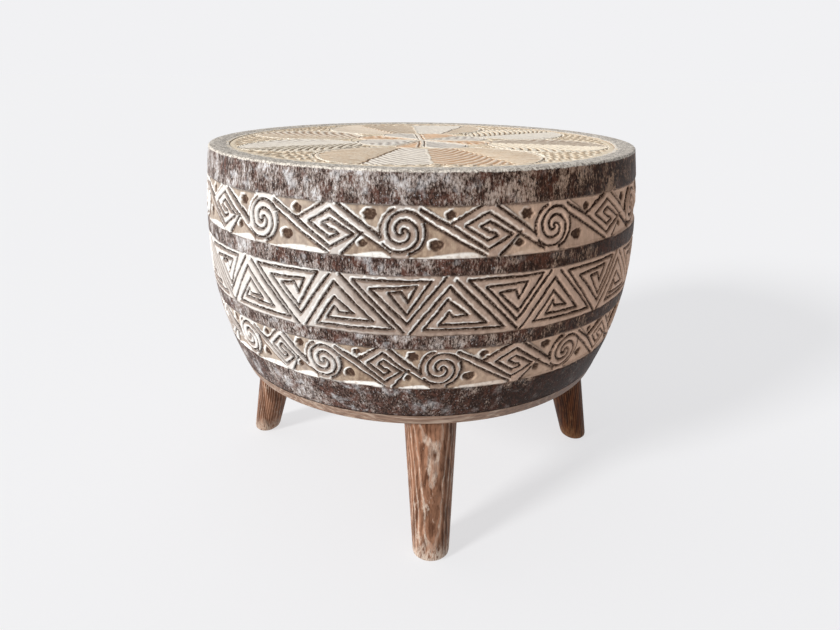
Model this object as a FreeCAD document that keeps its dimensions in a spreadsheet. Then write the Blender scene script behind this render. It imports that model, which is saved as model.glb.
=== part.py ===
# African drum table: a kettle-shaped drum hollowed from one log, on four oval legs.
# The legs' tenons pass through a base board and the floor of the drum and are wedged from inside,
# and a carved round board closes the top. Front is -Y, +Z is up and the feet stand at zero height.
import FreeCAD, Part
import math
import os
import Sketcher

# Driving sizes in millimetres and degrees: word, value and what it is
SIZES = [
    ("belly_radius", "250", "widest radius of the drum"),
    ("rim_tuck", "9.4", "how much smaller the drum's radius is at the rim"),
    ("waist_tuck", "25.5", "how much smaller it is where the drum meets the base board"),
    ("table_height", "412", "floor to rim"),
    ("belly_drop", "110", "rim down to the widest place"),
    ("leg_clear", "157", "floor to the underside of the base board"),
    ("wall_thickness", "26", "wall of the drum at its belly"),
    ("floor_thickness", "45", "floor left whole in the log"),
    ("hollow_inset", "13.5", "how much smaller the hollow's floor is than the drum's lower edge"),
    ("hollow_round", "6", "round where the hollow meets its floor"),
    ("rim_width", "22", "flat ring of the rim outside the top board"),
    ("ledge_width", "10", "ledge that carries the top board"),
    ("rim_round", "2", "worn arris of the rim"),
    ("top_thickness", "18", "carved top board"),
    ("top_sink", "1", "rim down to the top board's face"),
    ("top_gap", "0.3", "gap round the top board"),
    ("top_arris", "1", "eased edge of the top board"),
    ("base_thickness", "12", "base board"),
    ("base_inset", "4.9", "how much smaller the base board is below than above"),
    ("base_round", "2.5", "eased lower edge of the base board"),
    ("root_radial", "54", "a leg's width along the drum's radius at its shoulder"),
    ("root_tangential", "57", "a leg's width across at its shoulder"),
    ("foot_radial", "34.5", "a leg's width along the drum's radius at the floor"),
    ("foot_tangential", "39.5", "a leg's width across at the floor"),
    ("foot_round", "6", "eased edge of a foot"),
    ("root_margin", "5.6", "a leg's shoulder in from the base board's lower edge"),
    ("leg_reach", "37", "how far a foot stands out beyond its shoulder"),
    ("front_azimuth", "3.7", "front leg's angle from the front, towards +X"),
    ("right_azimuth", "96.2", "right leg's angle"),
    ("back_azimuth", "180", "back leg's angle"),
    ("left_azimuth", "260.6", "left leg's angle"),
    ("tenon_diameter", "28", "round tenon of a leg"),
    ("tenon_proud", "3", "how far a tenon stands above the drum's floor"),
    ("tenon_gap", "0.1", "gap round a tenon"),
    ("tenon_root", "6", "how far a tenon's cylinder starts below the shoulder"),
    ("wedge_length", "34", "leg wedge"),
    ("wedge_thick", "5", "leg wedge at its head"),
    ("wedge_thin", "1.5", "leg wedge at its tip"),
    ("wedge_proud", "2", "how far a wedge stands above its tenon"),
    ("batten_clear", "7.1", "gap between a batten's outer corners and the ledge"),
    ("batten_width", "45", "batten under the top board"),
    ("batten_depth", "20", "batten"),
    ("batten_spacing", "200", "between the two battens' middles"),
    ("batten_arris", "3", "eased lower edges of a batten"),
    ("peg_diameter", "8", "pegs of the battens and the base board"),
    ("peg_gap", "0.05", "gap round a peg"),
    ("batten_peg_bite", "9", "how far a batten's peg reaches into the top board"),
    ("batten_peg_count", "4", "pegs in one batten"),
    ("batten_peg_margin", "32.5", "end of a batten to its last peg"),
    ("base_peg_bite", "28", "how far a base peg reaches into the drum's floor"),
    ("base_peg_count", "8", "pegs round the base board"),
    ("base_peg_inset", "47", "base pegs in from the legs' centres"),
    ("scroll_height", "45", "height of the two carved scroll bands"),
    ("upper_drop", "51.8", "rim down to the middle of the upper scroll band"),
    ("lower_drop", "184", "rim down to the middle of the lower scroll band"),
    ("meander_height", "57", "height of the carved meander band"),
    ("meander_drop", "118.7", "rim down to the middle of the meander band"),
    ("upper_count", "11", "roundels round the upper scroll band"),
    ("lower_count", "13", "roundels round the lower scroll band"),
    ("meander_count", "15", "pairs of triangles round the meander band"),
    ("upper_azimuth", "29.13", "a roundel of the upper band, from the front towards +X"),
    ("lower_azimuth", "4.9", "a roundel of the lower band"),
    ("meander_azimuth", "6.3", "an upper corner of the meander band"),
    ("roundel_radius", "13", "ring groove of a roundel"),
    ("field_depth", "2.4", "how deep the scrolls are cut"),
    ("groove_depth", "2", "how deep the meander's grooves are cut"),
    ("groove_width", "2.6", "carved grooves"),
    ("leaf_count", "8", "leaves of the rosette on the top board"),
    ("leaf_azimuth", "28.9", "a leaf of the rosette, on the side away from the front"),
    ("leaf_start", "79", "middle of the rosette out to a leaf"),
    ("leaf_margin", "6", "a leaf's tip in from the top board's edge"),
    ("leaf_width", "88", "widest place of a leaf"),
    ("flower_radius", "72", "ring round the flower in the rosette's middle"),
    ("relief_depth", "1.2", "how deep the rosette is cut"),
    ("overrun", "5", "how far a cutting tool passes the face it leaves by"),
]
LEGS = ["front", "right", "back", "left"]
# Sunk fields of one scroll repeat, from roundel to roundel: its middle, then its corners, in shares
# of the repeat's length and of the band's half height
FIELDS = [
    (0.3, [(0.115, 0.93), (0.293, 0.27), (0.485, 0.93)]),
    (0.23, [(0.125, 0.49), (0.15, -0.09), (0.065, -0.92), (0.51, -0.92)]),
    (0.82, [(0.605, 0.93), (0.852, -0.08), (0.872, 0.44), (0.94, 0.93)]),
    (0.76, [(0.622, -0.92), (0.915, -0.92), (0.75, -0.09)]),
]
# Grooves between the meander's triangles, each from end to end, in the same shares
GROOVES = [[(0.06, 0.88), (0.5, -0.8)], [(0.6125, -0.75), (0.946, 0.9)]]
GROOVE_PARTS = 2
# Outlines of ring grooves, in the same shares, each with its middle: the scroll's diamond and the
# meander's two triangles
DIAMOND = ((0.532, 0), [(0.369, 0.1), (0.534, -0.8), (0.694, -0.06), (0.534, 0.8)])
TRIANGLES = [
    ((0.017, -0.087), [(0.009, 0.505), (-0.226, -0.485), (0.307, -0.515)]),
    ((0.539, 0.198), [(0.252, 0.607), (0.549, -0.4), (0.783, 0.619)]),
]
RING_SHARES = [1, 0.78]
TOE_STEPS = 3
FIT = 0.001


class Size:
    """A length or angle that knows its value and the text that the sheet reads it by."""

    def __init__(self, value, text):
        self.value = value
        self.text = text

    def join(self, other, sign, result):
        other_text = other.text if isinstance(other, Size) else str(other)
        return Size(result, f"({self.text} {sign} {other_text})")

    def __add__(self, other):
        return self.join(other, "+", self.value + number(other))

    def __sub__(self, other):
        return self.join(other, "-", self.value - number(other))

    def __mul__(self, other):
        return self.join(other, "*", self.value * number(other))

    def __truediv__(self, other):
        return self.join(other, "/", self.value / number(other))

    def __neg__(self):
        return Size(-self.value, f"(-{self.text})")


def number(size):
    return size.value if isinstance(size, Size) else size


def sine(angle):
    return Size(math.sin(math.radians(angle.value)), f"sin({angle.text})")


def cosine(angle):
    return Size(math.cos(math.radians(angle.value)), f"cos({angle.text})")


def arc_sine(share):
    return Size(math.degrees(math.asin(share.value)), f"asin({share.text})")


def other_side(longest, side):
    """The other short side of a right triangle."""
    value = math.sqrt(longest.value ** 2 - side.value ** 2)
    return Size(value, f"sqrt({longest.text} ^ 2 - {side.text} ^ 2)")


doc = FreeCAD.newDocument("drum_table")
sheet = doc.addObject("Spreadsheet::Sheet", "sizes")
size = {}
for row, (word, value, note) in enumerate(SIZES, start=1):
    sheet.set(f"A{row}", word)
    sheet.set(f"B{row}", value)
    sheet.set(f"C{row}", note)
    sheet.setAlias(f"B{row}", word)
    size[word] = Size(float(value), f"sizes.{word}")
doc.recompute()

# Levels and radii that several pieces share
ZERO = Size(0.0, "0")
ONE_TURN = 360
rim_top = size["table_height"]
belly_level = rim_top - size["belly_drop"]
board_under = size["leg_clear"]
board_top = board_under + size["base_thickness"]
hollow_floor = board_top + size["floor_thickness"]
top_face = rim_top - size["top_sink"]
ledge_level = top_face - size["top_thickness"]
rim_radius = size["belly_radius"] - size["rim_tuck"]
waist_radius = size["belly_radius"] - size["waist_tuck"]
lower_radius = waist_radius - size["base_inset"]
hollow_radius = waist_radius - size["hollow_inset"]
pocket_radius = rim_radius - size["rim_width"]
ledge_radius = pocket_radius - size["ledge_width"]
batten_place = size["batten_spacing"] / 2
batten_edge = batten_place + size["batten_width"] / 2
batten_length = other_side(ledge_radius - size["batten_clear"], batten_edge) * 2
peg_radius = size["peg_diameter"] / 2
peg_hole = peg_radius + size["peg_gap"]

# A leg leans by its splay; its tenon is measured along its axis from the shoulder
root_place = lower_radius - size["root_margin"] - size["root_radial"] / 2
base_peg_place = root_place - size["base_peg_inset"]
lean = math.atan2(size["leg_reach"].value, size["leg_clear"].value)
splay = Size(math.degrees(lean), "atan(sizes.leg_reach / sizes.leg_clear)")
tenon_radius = size["tenon_diameter"] / 2
tenon_length = (size["base_thickness"] + size["floor_thickness"]) / cosine(splay) + size["tenon_proud"]


# Places

def vector(x, y, z=0):
    return FreeCAD.Vector(x, y, z)


def place(x, y, z, axis="vector(0, 0, 1)", angle=ZERO):
    """The text of a placement at three sizes, turned about an axis."""
    return f"placement(vector({x.text}, {y.text}, {z.text}), rotation({axis}, {angle.text}))"


def leg_place(name):
    """The middle of a leg's shoulder, with X away from the drum's axis."""
    azimuth = size[f"{name}_azimuth"]
    reach = root_place
    turn = Size(azimuth.value - 90, f"({azimuth.text} - 90)")
    return place(reach * sine(azimuth), -reach * cosine(azimuth), board_under, angle=turn)


def tenon_hole_place(name, rise):
    """A point on a leg's axis, this far above the shoulder, with Z along that axis."""
    azimuth = size[f"{name}_azimuth"]
    reach = root_place - rise * sine(splay)
    across = f"vector({cosine(azimuth).text}, {sine(azimuth).text}, 0)"
    height = board_under + rise * cosine(splay)
    return place(reach * sine(azimuth), -reach * cosine(azimuth), height, across, -splay)


def wall_radius(level):
    """The drum's outer radius at a level, and how far its wall leans there."""
    tuck, rise = size["waist_tuck"], belly_level - board_top
    if level.value > belly_level.value:
        tuck, rise = size["rim_tuck"], size["belly_drop"]
    bend = (tuck * tuck + rise * rise) / (tuck * 2)
    lean = arc_sine((level - belly_level) / bend)
    return size["belly_radius"] - bend + bend * cosine(lean), lean


def wall_place(level, azimuth):
    """The plane that touches the wall at a level and an angle, with Y upwards and Z outwards."""
    radius, lean = wall_radius(level)
    spot = f"{(radius * sine(azimuth)).text}, {(-radius * cosine(azimuth)).text}, {level.text}"
    return f"placement(vector({spot}), rotation({azimuth.text}, 0, 90 deg - {lean.text}))"


def ring_places(count, radius):
    """Evenly spaced angles round the drum's axis, each with its place at a radius."""
    for index in range(int(count.value)):
        angle = Size(index * ONE_TURN / count.value, f"({index} * {ONE_TURN} / {count.text})")
        yield radius * cosine(angle), radius * sine(angle)


def batten_peg_places():
    """Distances of a batten's pegs from its middle."""
    count = size["batten_peg_count"]
    pitch = (batten_length - size["batten_peg_margin"] * 2) / (count - 1)
    for index in range(int(count.value)):
        steps = Size(index - (count.value - 1) / 2, f"({index} - ({count.text} - 1) / 2)")
        yield pitch * steps


# Bodies, sketches and features

def new_body(label):
    body = doc.addObject("PartDesign::Body", label)
    body.Label = label
    return body


def origin_item(body, role):
    return next(item for item in body.Origin.OriginFeatures if item.Role == role)


def new_sketch(body, role, offset):
    sketch = body.newObject("Sketcher::SketchObject", f"{body.Label}_sketch")
    sketch.AttachmentSupport = (origin_item(body, role), [""])
    sketch.MapMode = "FlatFace"
    sketch.setExpression("AttachmentOffset", offset)
    return sketch


def bind(sketch, constraint, value):
    index = sketch.addConstraint(constraint)
    sketch.setExpression(f"Constraints[{index}]", value.text)


def pin(sketch, geometry, position, x, y):
    """Holds a point at x and y from the sketch's origin; a zero holds it on an axis instead."""
    for kind, value, axis in (("DistanceX", x, -2), ("DistanceY", y, -1)):
        if value is ZERO:
            sketch.addConstraint(Sketcher.Constraint("PointOnObject", geometry, position, axis))
        else:
            bind(sketch, Sketcher.Constraint(kind, -1, 1, geometry, position, value.value), value)


def level_arc(start, finish, level):
    """The arc between two points that bulges to +X, with its centre at a level."""
    low, high = sorted((start, finish), key=lambda point: point[1].value)
    x1, y1 = low[0].value, low[1].value - level.value
    x2, y2 = high[0].value, high[1].value - level.value
    centre_x = (x1 ** 2 - x2 ** 2 + y1 ** 2 - y2 ** 2) / (2 * (x1 - x2))
    radius = math.hypot(x1 - centre_x, y1)
    circle = Part.Circle(vector(centre_x, level.value), vector(0, 0, 1), radius)
    return Part.ArcOfCircle(circle, math.atan2(y1, x1 - centre_x), math.atan2(y2, x2 - centre_x))


def edge_ends(corner, following):
    """Which ends of an edge are its first and last along the outline: an arc always runs upwards."""
    falls = len(corner) == 3 and corner[1].value > following[1].value
    return (2, 1) if falls else (1, 2)


def draw_outline(sketch, corners):
    """A closed outline. A corner is (x, y), or (x, y, level) where an arc with its centre at
    that level leaves it."""
    following = corners[1:] + corners[:1]
    first = sketch.GeometryCount
    for corner, after in zip(corners, following):
        if len(corner) == 3:
            shape = level_arc(corner, after, corner[2])
        else:
            shape = Part.LineSegment(vector(corner[0].value, corner[1].value),
                                     vector(after[0].value, after[1].value))
        sketch.addGeometry(shape, False)
    ends = [edge_ends(corner, after) for corner, after in zip(corners, following)]
    for step, corner in enumerate(corners):
        index = first + step
        before = (step - 1) % len(corners)
        joined = Sketcher.Constraint("Coincident", first + before, ends[before][1], index, ends[step][0])
        sketch.addConstraint(joined)
        pin(sketch, index, ends[step][0], corner[0], corner[1])
        if len(corner) == 3:
            level = corner[2]
            bind(sketch, Sketcher.Constraint("DistanceY", -1, 1, index, 3, level.value), level)


def draw_circle(sketch, x, y, radius):
    centre = vector(x.value, y.value)
    index = sketch.addGeometry(Part.Circle(centre, vector(0, 0, 1), radius.value), False)
    pin(sketch, index, 3, x, y)
    bind(sketch, Sketcher.Constraint("Radius", index, radius.value), radius)


def draw_oval(sketch, radial, tangential):
    """An ellipse about the sketch's origin, its longer axis across the drum's radius."""
    ends = vector(0, tangential.value / 2), vector(radial.value / 2, 0)
    index = sketch.addGeometry(Part.Ellipse(*ends, vector(0, 0)), False)
    sketch.exposeInternalGeometry(index)
    pin(sketch, index, 3, ZERO, ZERO)
    sketch.addConstraint(Sketcher.Constraint("Vertical", index + 1))
    bind(sketch, Sketcher.Constraint("Distance", index + 1, tangential.value), tangential)
    bind(sketch, Sketcher.Constraint("Distance", index + 2, radial.value), radial)


def turn(body, corners):
    """Turns an outline of radius and height round the drum's axis."""
    sketch = new_sketch(body, "XZ_Plane", place(ZERO, ZERO, ZERO))
    draw_outline(sketch, corners)
    turned = body.newObject("PartDesign::Revolution", f"{body.Label}_turned")
    turned.Profile = sketch
    turned.ReferenceAxis = (sketch, ["V_Axis"])
    turned.Angle = ONE_TURN
    doc.recompute()
    return turned


def thicken(body, kind, sketch, length, both_ways=False, upward=False):
    """Pads or pockets a sketch, from its plane or to both sides of it."""
    feature = body.newObject(f"PartDesign::{kind}", f"{body.Label}_{kind.lower()}")
    feature.Profile = sketch
    feature.Refine = False
    feature.SideType = "Symmetric" if both_ways else "One side"
    feature.Reversed = upward and kind == "Pocket"
    feature.setExpression("Length", length.text)
    before = body.Shape.Volume if kind == "Pocket" else 0
    doc.recompute()
    if kind == "Pocket" and feature.Shape.Volume > before - FIT:
        raise RuntimeError(f"{feature.Name} cuts nothing")
    return feature


def ease(body, radius, picks):
    """Rounds the edges of the body so far that the test picks."""
    base = body.Tip
    names = [f"Edge{index}" for index, edge in enumerate(base.Shape.Edges, start=1) if picks(edge)]
    fillet = body.newObject("PartDesign::Fillet", f"{body.Label}_eased")
    fillet.Base = (base, names)
    fillet.setExpression("Radius", radius.text)
    doc.recompute()


def ring(radius, height):
    """A test for the full circle of this radius at this height."""
    def picks(edge):
        round_edge = isinstance(edge.Curve, Part.Circle) and abs(edge.Curve.Radius - radius.value) < FIT
        return round_edge and abs(edge.Curve.Center.z - height.value) < FIT
    return picks


def cut_tenon_holes(body, length):
    """Tilted holes for the four tenons, from below the shoulders up."""
    for name in LEGS:
        before = body.Shape.Volume
        hole = body.newObject("PartDesign::SubtractiveCylinder", f"{body.Label}_hole")
        hole.AttachmentSupport = (origin_item(body, "XY_Plane"), [""])
        hole.MapMode = "FlatFace"
        hole.setExpression("AttachmentOffset", tenon_hole_place(name, -size["overrun"]))
        hole.setExpression("Radius", (tenon_radius + size["tenon_gap"]).text)
        hole.setExpression("Height", (length + size["overrun"] * 2).text)
        doc.recompute()
        if body.Shape.Volume > before - FIT:
            raise RuntimeError(f"{hole.Name} cuts nothing")


def pattern_round(body, features, count):
    pattern = body.newObject("PartDesign::PolarPattern", f"{features[0].Name}_ring")
    pattern.Originals = features
    pattern.Refine = False
    pattern.Axis = (origin_item(body, "Z_Axis"), [""])
    pattern.Angle = ONE_TURN
    pattern.setExpression("Occurrences", count.text)
    body.Tip = pattern
    doc.recompute()


def grooves():
    """The meander's grooves, in parts that follow the curved wall."""
    for (x1, y1), (x2, y2) in GROOVES:
        for part in range(GROOVE_PARTS):
            ends = part / GROOVE_PARTS, (part + 1) / GROOVE_PARTS
            low, high = [(x1 + (x2 - x1) * end, y1 + (y2 - y1) * end) for end in ends]
            yield ((low[0] + high[0]) / 2, (low[1] + high[1]) / 2), [[low, high]]


def ring_groove(middle, corners):
    """An outline and a smaller one inside it, for a groove between them."""
    x0, y0 = middle
    return middle, [[(x0 + (x - x0) * share, y0 + (y - y0) * share) for x, y in corners]
                    for share in RING_SHARES]


def scroll_shapes():
    """The sunk fields of one scroll repeat, and the ring grooves of its roundel and its diamond."""
    shapes = [((middle, 0), [corners]) for middle, corners in FIELDS]
    shapes.append(((0, 0), [size["roundel_radius"] * share for share in RING_SHARES]))
    return shapes + [ring_groove(*DIAMOND)]


def meander_shapes():
    return list(grooves()) + [ring_groove(*triangle) for triangle in TRIANGLES]


def carve(body, drop, azimuth, count, height, shapes, depth):
    """Cuts the shapes of one repeat into the wall from planes that touch it. A shape is its middle and
    its outlines: corners, the two ends of a groove, or the radius of a circle."""
    level = rim_top - drop
    pitch = size["belly_radius"] * (2 * math.pi) / count
    half = size["groove_width"] / 2
    cuts = []
    for (x0, y0), outlines in shapes:
        turn = azimuth + Size(ONE_TURN * x0, f"({ONE_TURN} * {x0})") / count
        sketch = new_sketch(body, "XY_Plane", wall_place(level + height * (y0 / 2), turn))
        for outline in outlines:
            if isinstance(outline, Size):
                draw_circle(sketch, ZERO, ZERO, outline)
                continue
            points = [(pitch * (x - x0), height * ((y - y0) / 2)) for x, y in outline]
            if len(points) == 2:
                (x1, y1), (x2, y2) = points
                points = [(x1 - half, y1), (x2 - half, y2), (x2 + half, y2), (x1 + half, y1)]
            draw_outline(sketch, points)
        cuts.append(thicken(body, "Pocket", sketch, depth))
    return cuts, count


def draw_leaf(sketch, start, finish, half_width):
    """A pointed leaf along Y, with two arcs for its sides."""
    half = (finish - start) / 2
    bend = (half * half + half_width * half_width) / (half_width * 2)
    spread = math.asin(half.value / bend.value)
    sides = []
    for side in (1, -1):
        centre = vector(side * (half_width.value - bend.value), (start.value + finish.value) / 2)
        middle = 0 if side > 0 else math.pi
        circle = Part.Circle(centre, vector(0, 0, 1), bend.value)
        sides.append(sketch.addGeometry(Part.ArcOfCircle(circle, middle - spread, middle + spread), False))
    right, left = sides
    sketch.addConstraint(Sketcher.Constraint("Coincident", right, 2, left, 1))
    sketch.addConstraint(Sketcher.Constraint("Coincident", left, 2, right, 1))
    pin(sketch, right, 1, ZERO, start)
    pin(sketch, right, 2, ZERO, finish)
    for index in sides:
        bind(sketch, Sketcher.Constraint("Radius", index, bend.value), bend)


def carve_rosette(body, radius):
    """Grooves round the leaves and along their midribs, and a ring round the flower."""
    width = size["groove_width"]
    half = size["leaf_width"] / 2
    start, finish = size["leaf_start"], radius - size["leaf_margin"]
    sketch = new_sketch(body, "XY_Plane", place(ZERO, ZERO, top_face, angle=size["leaf_azimuth"]))
    draw_leaf(sketch, start, finish, half)
    draw_leaf(sketch, start + width * 2, finish - width * 2, half - width)
    low, high = start + width * 6, finish - width * 6
    draw_outline(sketch, [(-width / 2, low), (width / 2, low), (width / 2, high), (-width / 2, high)])
    pattern_round(body, [thicken(body, "Pocket", sketch, size["relief_depth"])], size["leaf_count"])
    flower = new_sketch(body, "XY_Plane", place(ZERO, ZERO, top_face))
    draw_circle(flower, ZERO, ZERO, size["flower_radius"])
    draw_circle(flower, ZERO, ZERO, size["flower_radius"] - width)
    thicken(body, "Pocket", flower, size["relief_depth"])


def peg_group(label, places, bottom, length):
    """Straight round pegs that share one node."""
    pegs = []
    for x, y in places:
        peg = doc.addObject("Part::Cylinder", f"{label}_one")
        peg.setExpression("Radius", peg_radius.text)
        peg.setExpression("Height", length.text)
        peg.setExpression("Placement", place(x, y, bottom))
        pegs.append(peg)
    group = doc.addObject("Part::Compound", label)
    group.Label = label
    group.Links = pegs
    return group


# Drum and boards

def drum_body():
    """The hollowed log: kettle outside, a floor left whole, a ledge and a pocket in the rim."""
    body = new_body("drum_body")
    inner_belly = size["belly_radius"] - size["wall_thickness"]
    turn(body, [
        (ZERO, board_top),
        (waist_radius, board_top, belly_level),
        (size["belly_radius"], belly_level, belly_level),
        (rim_radius, rim_top),
        (pocket_radius, rim_top),
        (pocket_radius, ledge_level),
        (ledge_radius, ledge_level, belly_level),
        (inner_belly, belly_level, belly_level),
        (hollow_radius, hollow_floor),
        (ZERO, hollow_floor),
    ])
    ease(body, size["hollow_round"], ring(hollow_radius, hollow_floor))
    ease(body, size["rim_round"], ring(rim_radius, rim_top))
    cut_tenon_holes(body, tenon_length)
    sketch = new_sketch(body, "XY_Plane", place(ZERO, ZERO, board_top))
    draw_circle(sketch, base_peg_place, ZERO, peg_hole)
    pattern_round(body, [thicken(body, "Pocket", sketch, size["base_peg_bite"], upward=True)],
                  size["base_peg_count"])
    bands = [carve(body, size[f"{band}_drop"], size[f"{band}_azimuth"], size[f"{band}_count"],
                   size["scroll_height"], scroll_shapes(), size["field_depth"])
             for band in ("upper", "lower")]
    bands.append(carve(body, size["meander_drop"], size["meander_azimuth"], size["meander_count"],
                       size["meander_height"], meander_shapes(), size["groove_depth"]))
    for cuts, count in bands:
        pattern_round(body, cuts, count)
    return body


def base_board():
    """The round board under the log, its edge carrying on the drum's curve."""
    body = new_body("base_board")
    turn(body, [
        (ZERO, board_under),
        (lower_radius, board_under),
        (waist_radius, board_top),
        (ZERO, board_top),
    ])
    ease(body, size["base_round"], ring(lower_radius, board_under))
    cut_tenon_holes(body, size["base_thickness"])
    sketch = new_sketch(body, "XY_Plane", place(ZERO, ZERO, board_under))
    draw_circle(sketch, base_peg_place, ZERO, peg_hole)
    pattern_round(body, [thicken(body, "Pocket", sketch, size["base_thickness"], upward=True)],
                  size["base_peg_count"])
    return body


def top_board():
    """The round board that lies on the ledge inside the rim."""
    body = new_body("top_board")
    radius = pocket_radius - size["top_gap"]
    turn(body, [(ZERO, ledge_level), (radius, ledge_level), (radius, top_face), (ZERO, top_face)])
    ease(body, size["top_arris"], ring(radius, top_face))
    sketch = new_sketch(body, "XY_Plane", place(ZERO, ZERO, ledge_level))
    for side in (-1, 1):
        for x in batten_peg_places():
            draw_circle(sketch, x, batten_place * side, peg_hole)
    thicken(body, "Pocket", sketch, size["batten_peg_bite"], upward=True)
    carve_rosette(body, radius)
    return body


def batten(label, side):
    """A flat bar under the top board, with its two lower edges bevelled."""
    body = new_body(label)
    half = size["batten_width"] / 2
    depth = size["batten_depth"]
    arris = size["batten_arris"]
    sketch = new_sketch(body, "YZ_Plane", place(ZERO, ZERO, ZERO))
    draw_outline(sketch, [
        (half, ZERO),
        (-half, ZERO),
        (-half, arris - depth),
        (arris - half, -depth),
        (half - arris, -depth),
        (half, arris - depth),
    ])
    thicken(body, "Pad", sketch, batten_length, both_ways=True)
    holes = new_sketch(body, "XY_Plane", place(ZERO, ZERO, ZERO))
    for x in batten_peg_places():
        draw_circle(holes, x, ZERO, peg_hole)
    thicken(body, "Pocket", holes, depth)
    body.setExpression("Placement", place(ZERO, batten_place * side, ledge_level))
    return body


# Legs and wedges

def draw_wedge(body):
    """The wedge seen along the drum's radius, on the leg's tilted axis."""
    sketch = new_sketch(body, "YZ_Plane", place(ZERO, ZERO, ZERO, "vector(1, 0, 0)", -splay))
    head = tenon_length + size["wedge_proud"]
    tip = head - size["wedge_length"]
    thick = size["wedge_thick"] / 2
    thin = size["wedge_thin"] / 2
    draw_outline(sketch, [(thin, tip), (thick, head), (-thick, head), (-thin, tip)])
    return sketch


def leg(name):
    """An oval leg that tapers and leans out to its foot, with a round tenon slotted for its wedge."""
    body = new_body(f"leg_{name}")
    reach = size["leg_reach"]
    sections = []
    for step in range(TOE_STEPS + 1):
        angle = Size(90 * step / TOE_STEPS, f"(90 * {step} / {TOE_STEPS})")
        inset = size["foot_round"] - size["foot_round"] * sine(angle)
        rise = size["foot_round"] - size["foot_round"] * cosine(angle)
        out = reach - reach * rise / size["leg_clear"]
        toe = new_sketch(body, "XY_Plane", place(out, ZERO, rise - size["leg_clear"]))
        draw_oval(toe, size["foot_radial"] - inset * 2, size["foot_tangential"] - inset * 2)
        sections.append(toe)
    root = new_sketch(body, "XY_Plane", place(ZERO, ZERO, ZERO))
    draw_oval(root, size["root_radial"], size["root_tangential"])
    shaft = body.newObject("PartDesign::AdditiveLoft", f"{body.Label}_shaft")
    shaft.Profile = sections[0]
    shaft.Sections = sections[1:] + [root]
    shaft.Ruled = True
    doc.recompute()
    tenon = body.newObject("PartDesign::AdditiveCylinder", f"{body.Label}_tenon")
    tenon.AttachmentSupport = (origin_item(body, "XY_Plane"), [""])
    tenon.MapMode = "FlatFace"
    depth = size["tenon_root"]
    start = place(depth * sine(splay), ZERO, -depth * cosine(splay), "vector(0, 1, 0)", -splay)
    tenon.setExpression("AttachmentOffset", start)
    tenon.setExpression("Radius", tenon_radius.text)
    tenon.setExpression("Height", (tenon_length + depth).text)
    doc.recompute()
    thicken(body, "Pocket", draw_wedge(body), size["tenon_diameter"] + size["overrun"], both_ways=True)
    body.setExpression("Placement", leg_place(name))
    return body


def wedge(name):
    """The wedge that spreads a tenon; its corners just reach the tenon's round."""
    body = new_body(f"wedge_{name}")
    chord = other_side(tenon_radius, size["wedge_thick"] / 2) * 2
    thicken(body, "Pad", draw_wedge(body), chord, both_ways=True)
    body.setExpression("Placement", leg_place(name))
    return body


def pegs():
    """The pegs of the base board and of the two battens."""
    length = size["base_thickness"] + size["base_peg_bite"]
    base = peg_group("base_pegs", ring_places(size["base_peg_count"], base_peg_place),
                     board_under, length)
    rows = [(x, batten_place * side) for side in (-1, 1) for x in batten_peg_places()]
    top = peg_group("batten_pegs", rows, ledge_level - size["batten_depth"],
                    size["batten_depth"] + size["batten_peg_bite"])
    return [base, top]


sub_parts = [drum_body(), base_board(), top_board(), batten("batten_front", -1), batten("batten_back", 1)]
for leg_name in LEGS:
    sub_parts += [leg(leg_name), wedge(leg_name)]
sub_parts += pegs()
doc.recompute()

for item in doc.Objects:
    if "Invalid" in item.State or "Error" in item.State:
        raise RuntimeError(f"{item.Label} failed: {item.State}")
os.makedirs("parts", exist_ok=True)
for part in sub_parts:
    if part.Shape.isNull() or not part.Shape.isValid():
        raise RuntimeError(f"{part.Label} has no valid shape")
    part.Shape.exportStep(f"parts/{part.Label}.step")
    print(f"{part.Label}: {len(part.Shape.Solids)} solids, {part.Shape.Volume / 1000:.1f} cm3")
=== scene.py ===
# African drum table: the carved wall, rim and top, the timber of the legs and boards,
# and the plain studio that the table stands in. Front is -Y and +Z is up.
import math
from contextlib import contextmanager
from functools import partial, reduce
from itertools import pairwise

import bmesh
import bpy
import numpy as np
from mathutils import Matrix, Vector


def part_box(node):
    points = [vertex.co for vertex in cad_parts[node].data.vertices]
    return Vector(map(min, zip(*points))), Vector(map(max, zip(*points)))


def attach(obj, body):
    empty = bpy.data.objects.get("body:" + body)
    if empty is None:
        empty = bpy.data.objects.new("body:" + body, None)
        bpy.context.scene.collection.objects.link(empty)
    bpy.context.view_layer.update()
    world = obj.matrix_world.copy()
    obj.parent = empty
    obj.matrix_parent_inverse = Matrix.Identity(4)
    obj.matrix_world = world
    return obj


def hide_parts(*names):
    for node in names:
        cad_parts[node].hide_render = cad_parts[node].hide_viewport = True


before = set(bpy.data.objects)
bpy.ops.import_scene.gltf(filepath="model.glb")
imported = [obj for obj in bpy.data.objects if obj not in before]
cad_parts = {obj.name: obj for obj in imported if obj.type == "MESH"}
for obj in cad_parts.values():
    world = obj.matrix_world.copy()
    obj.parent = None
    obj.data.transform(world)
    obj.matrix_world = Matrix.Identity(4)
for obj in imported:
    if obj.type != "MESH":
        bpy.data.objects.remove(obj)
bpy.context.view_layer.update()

# Lengths below are in millimetres, and MM takes them to the scene's metres
MM = 0.001
SEED = 7
QUARTER = math.pi / 2
FULL = 2 * math.pi

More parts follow.
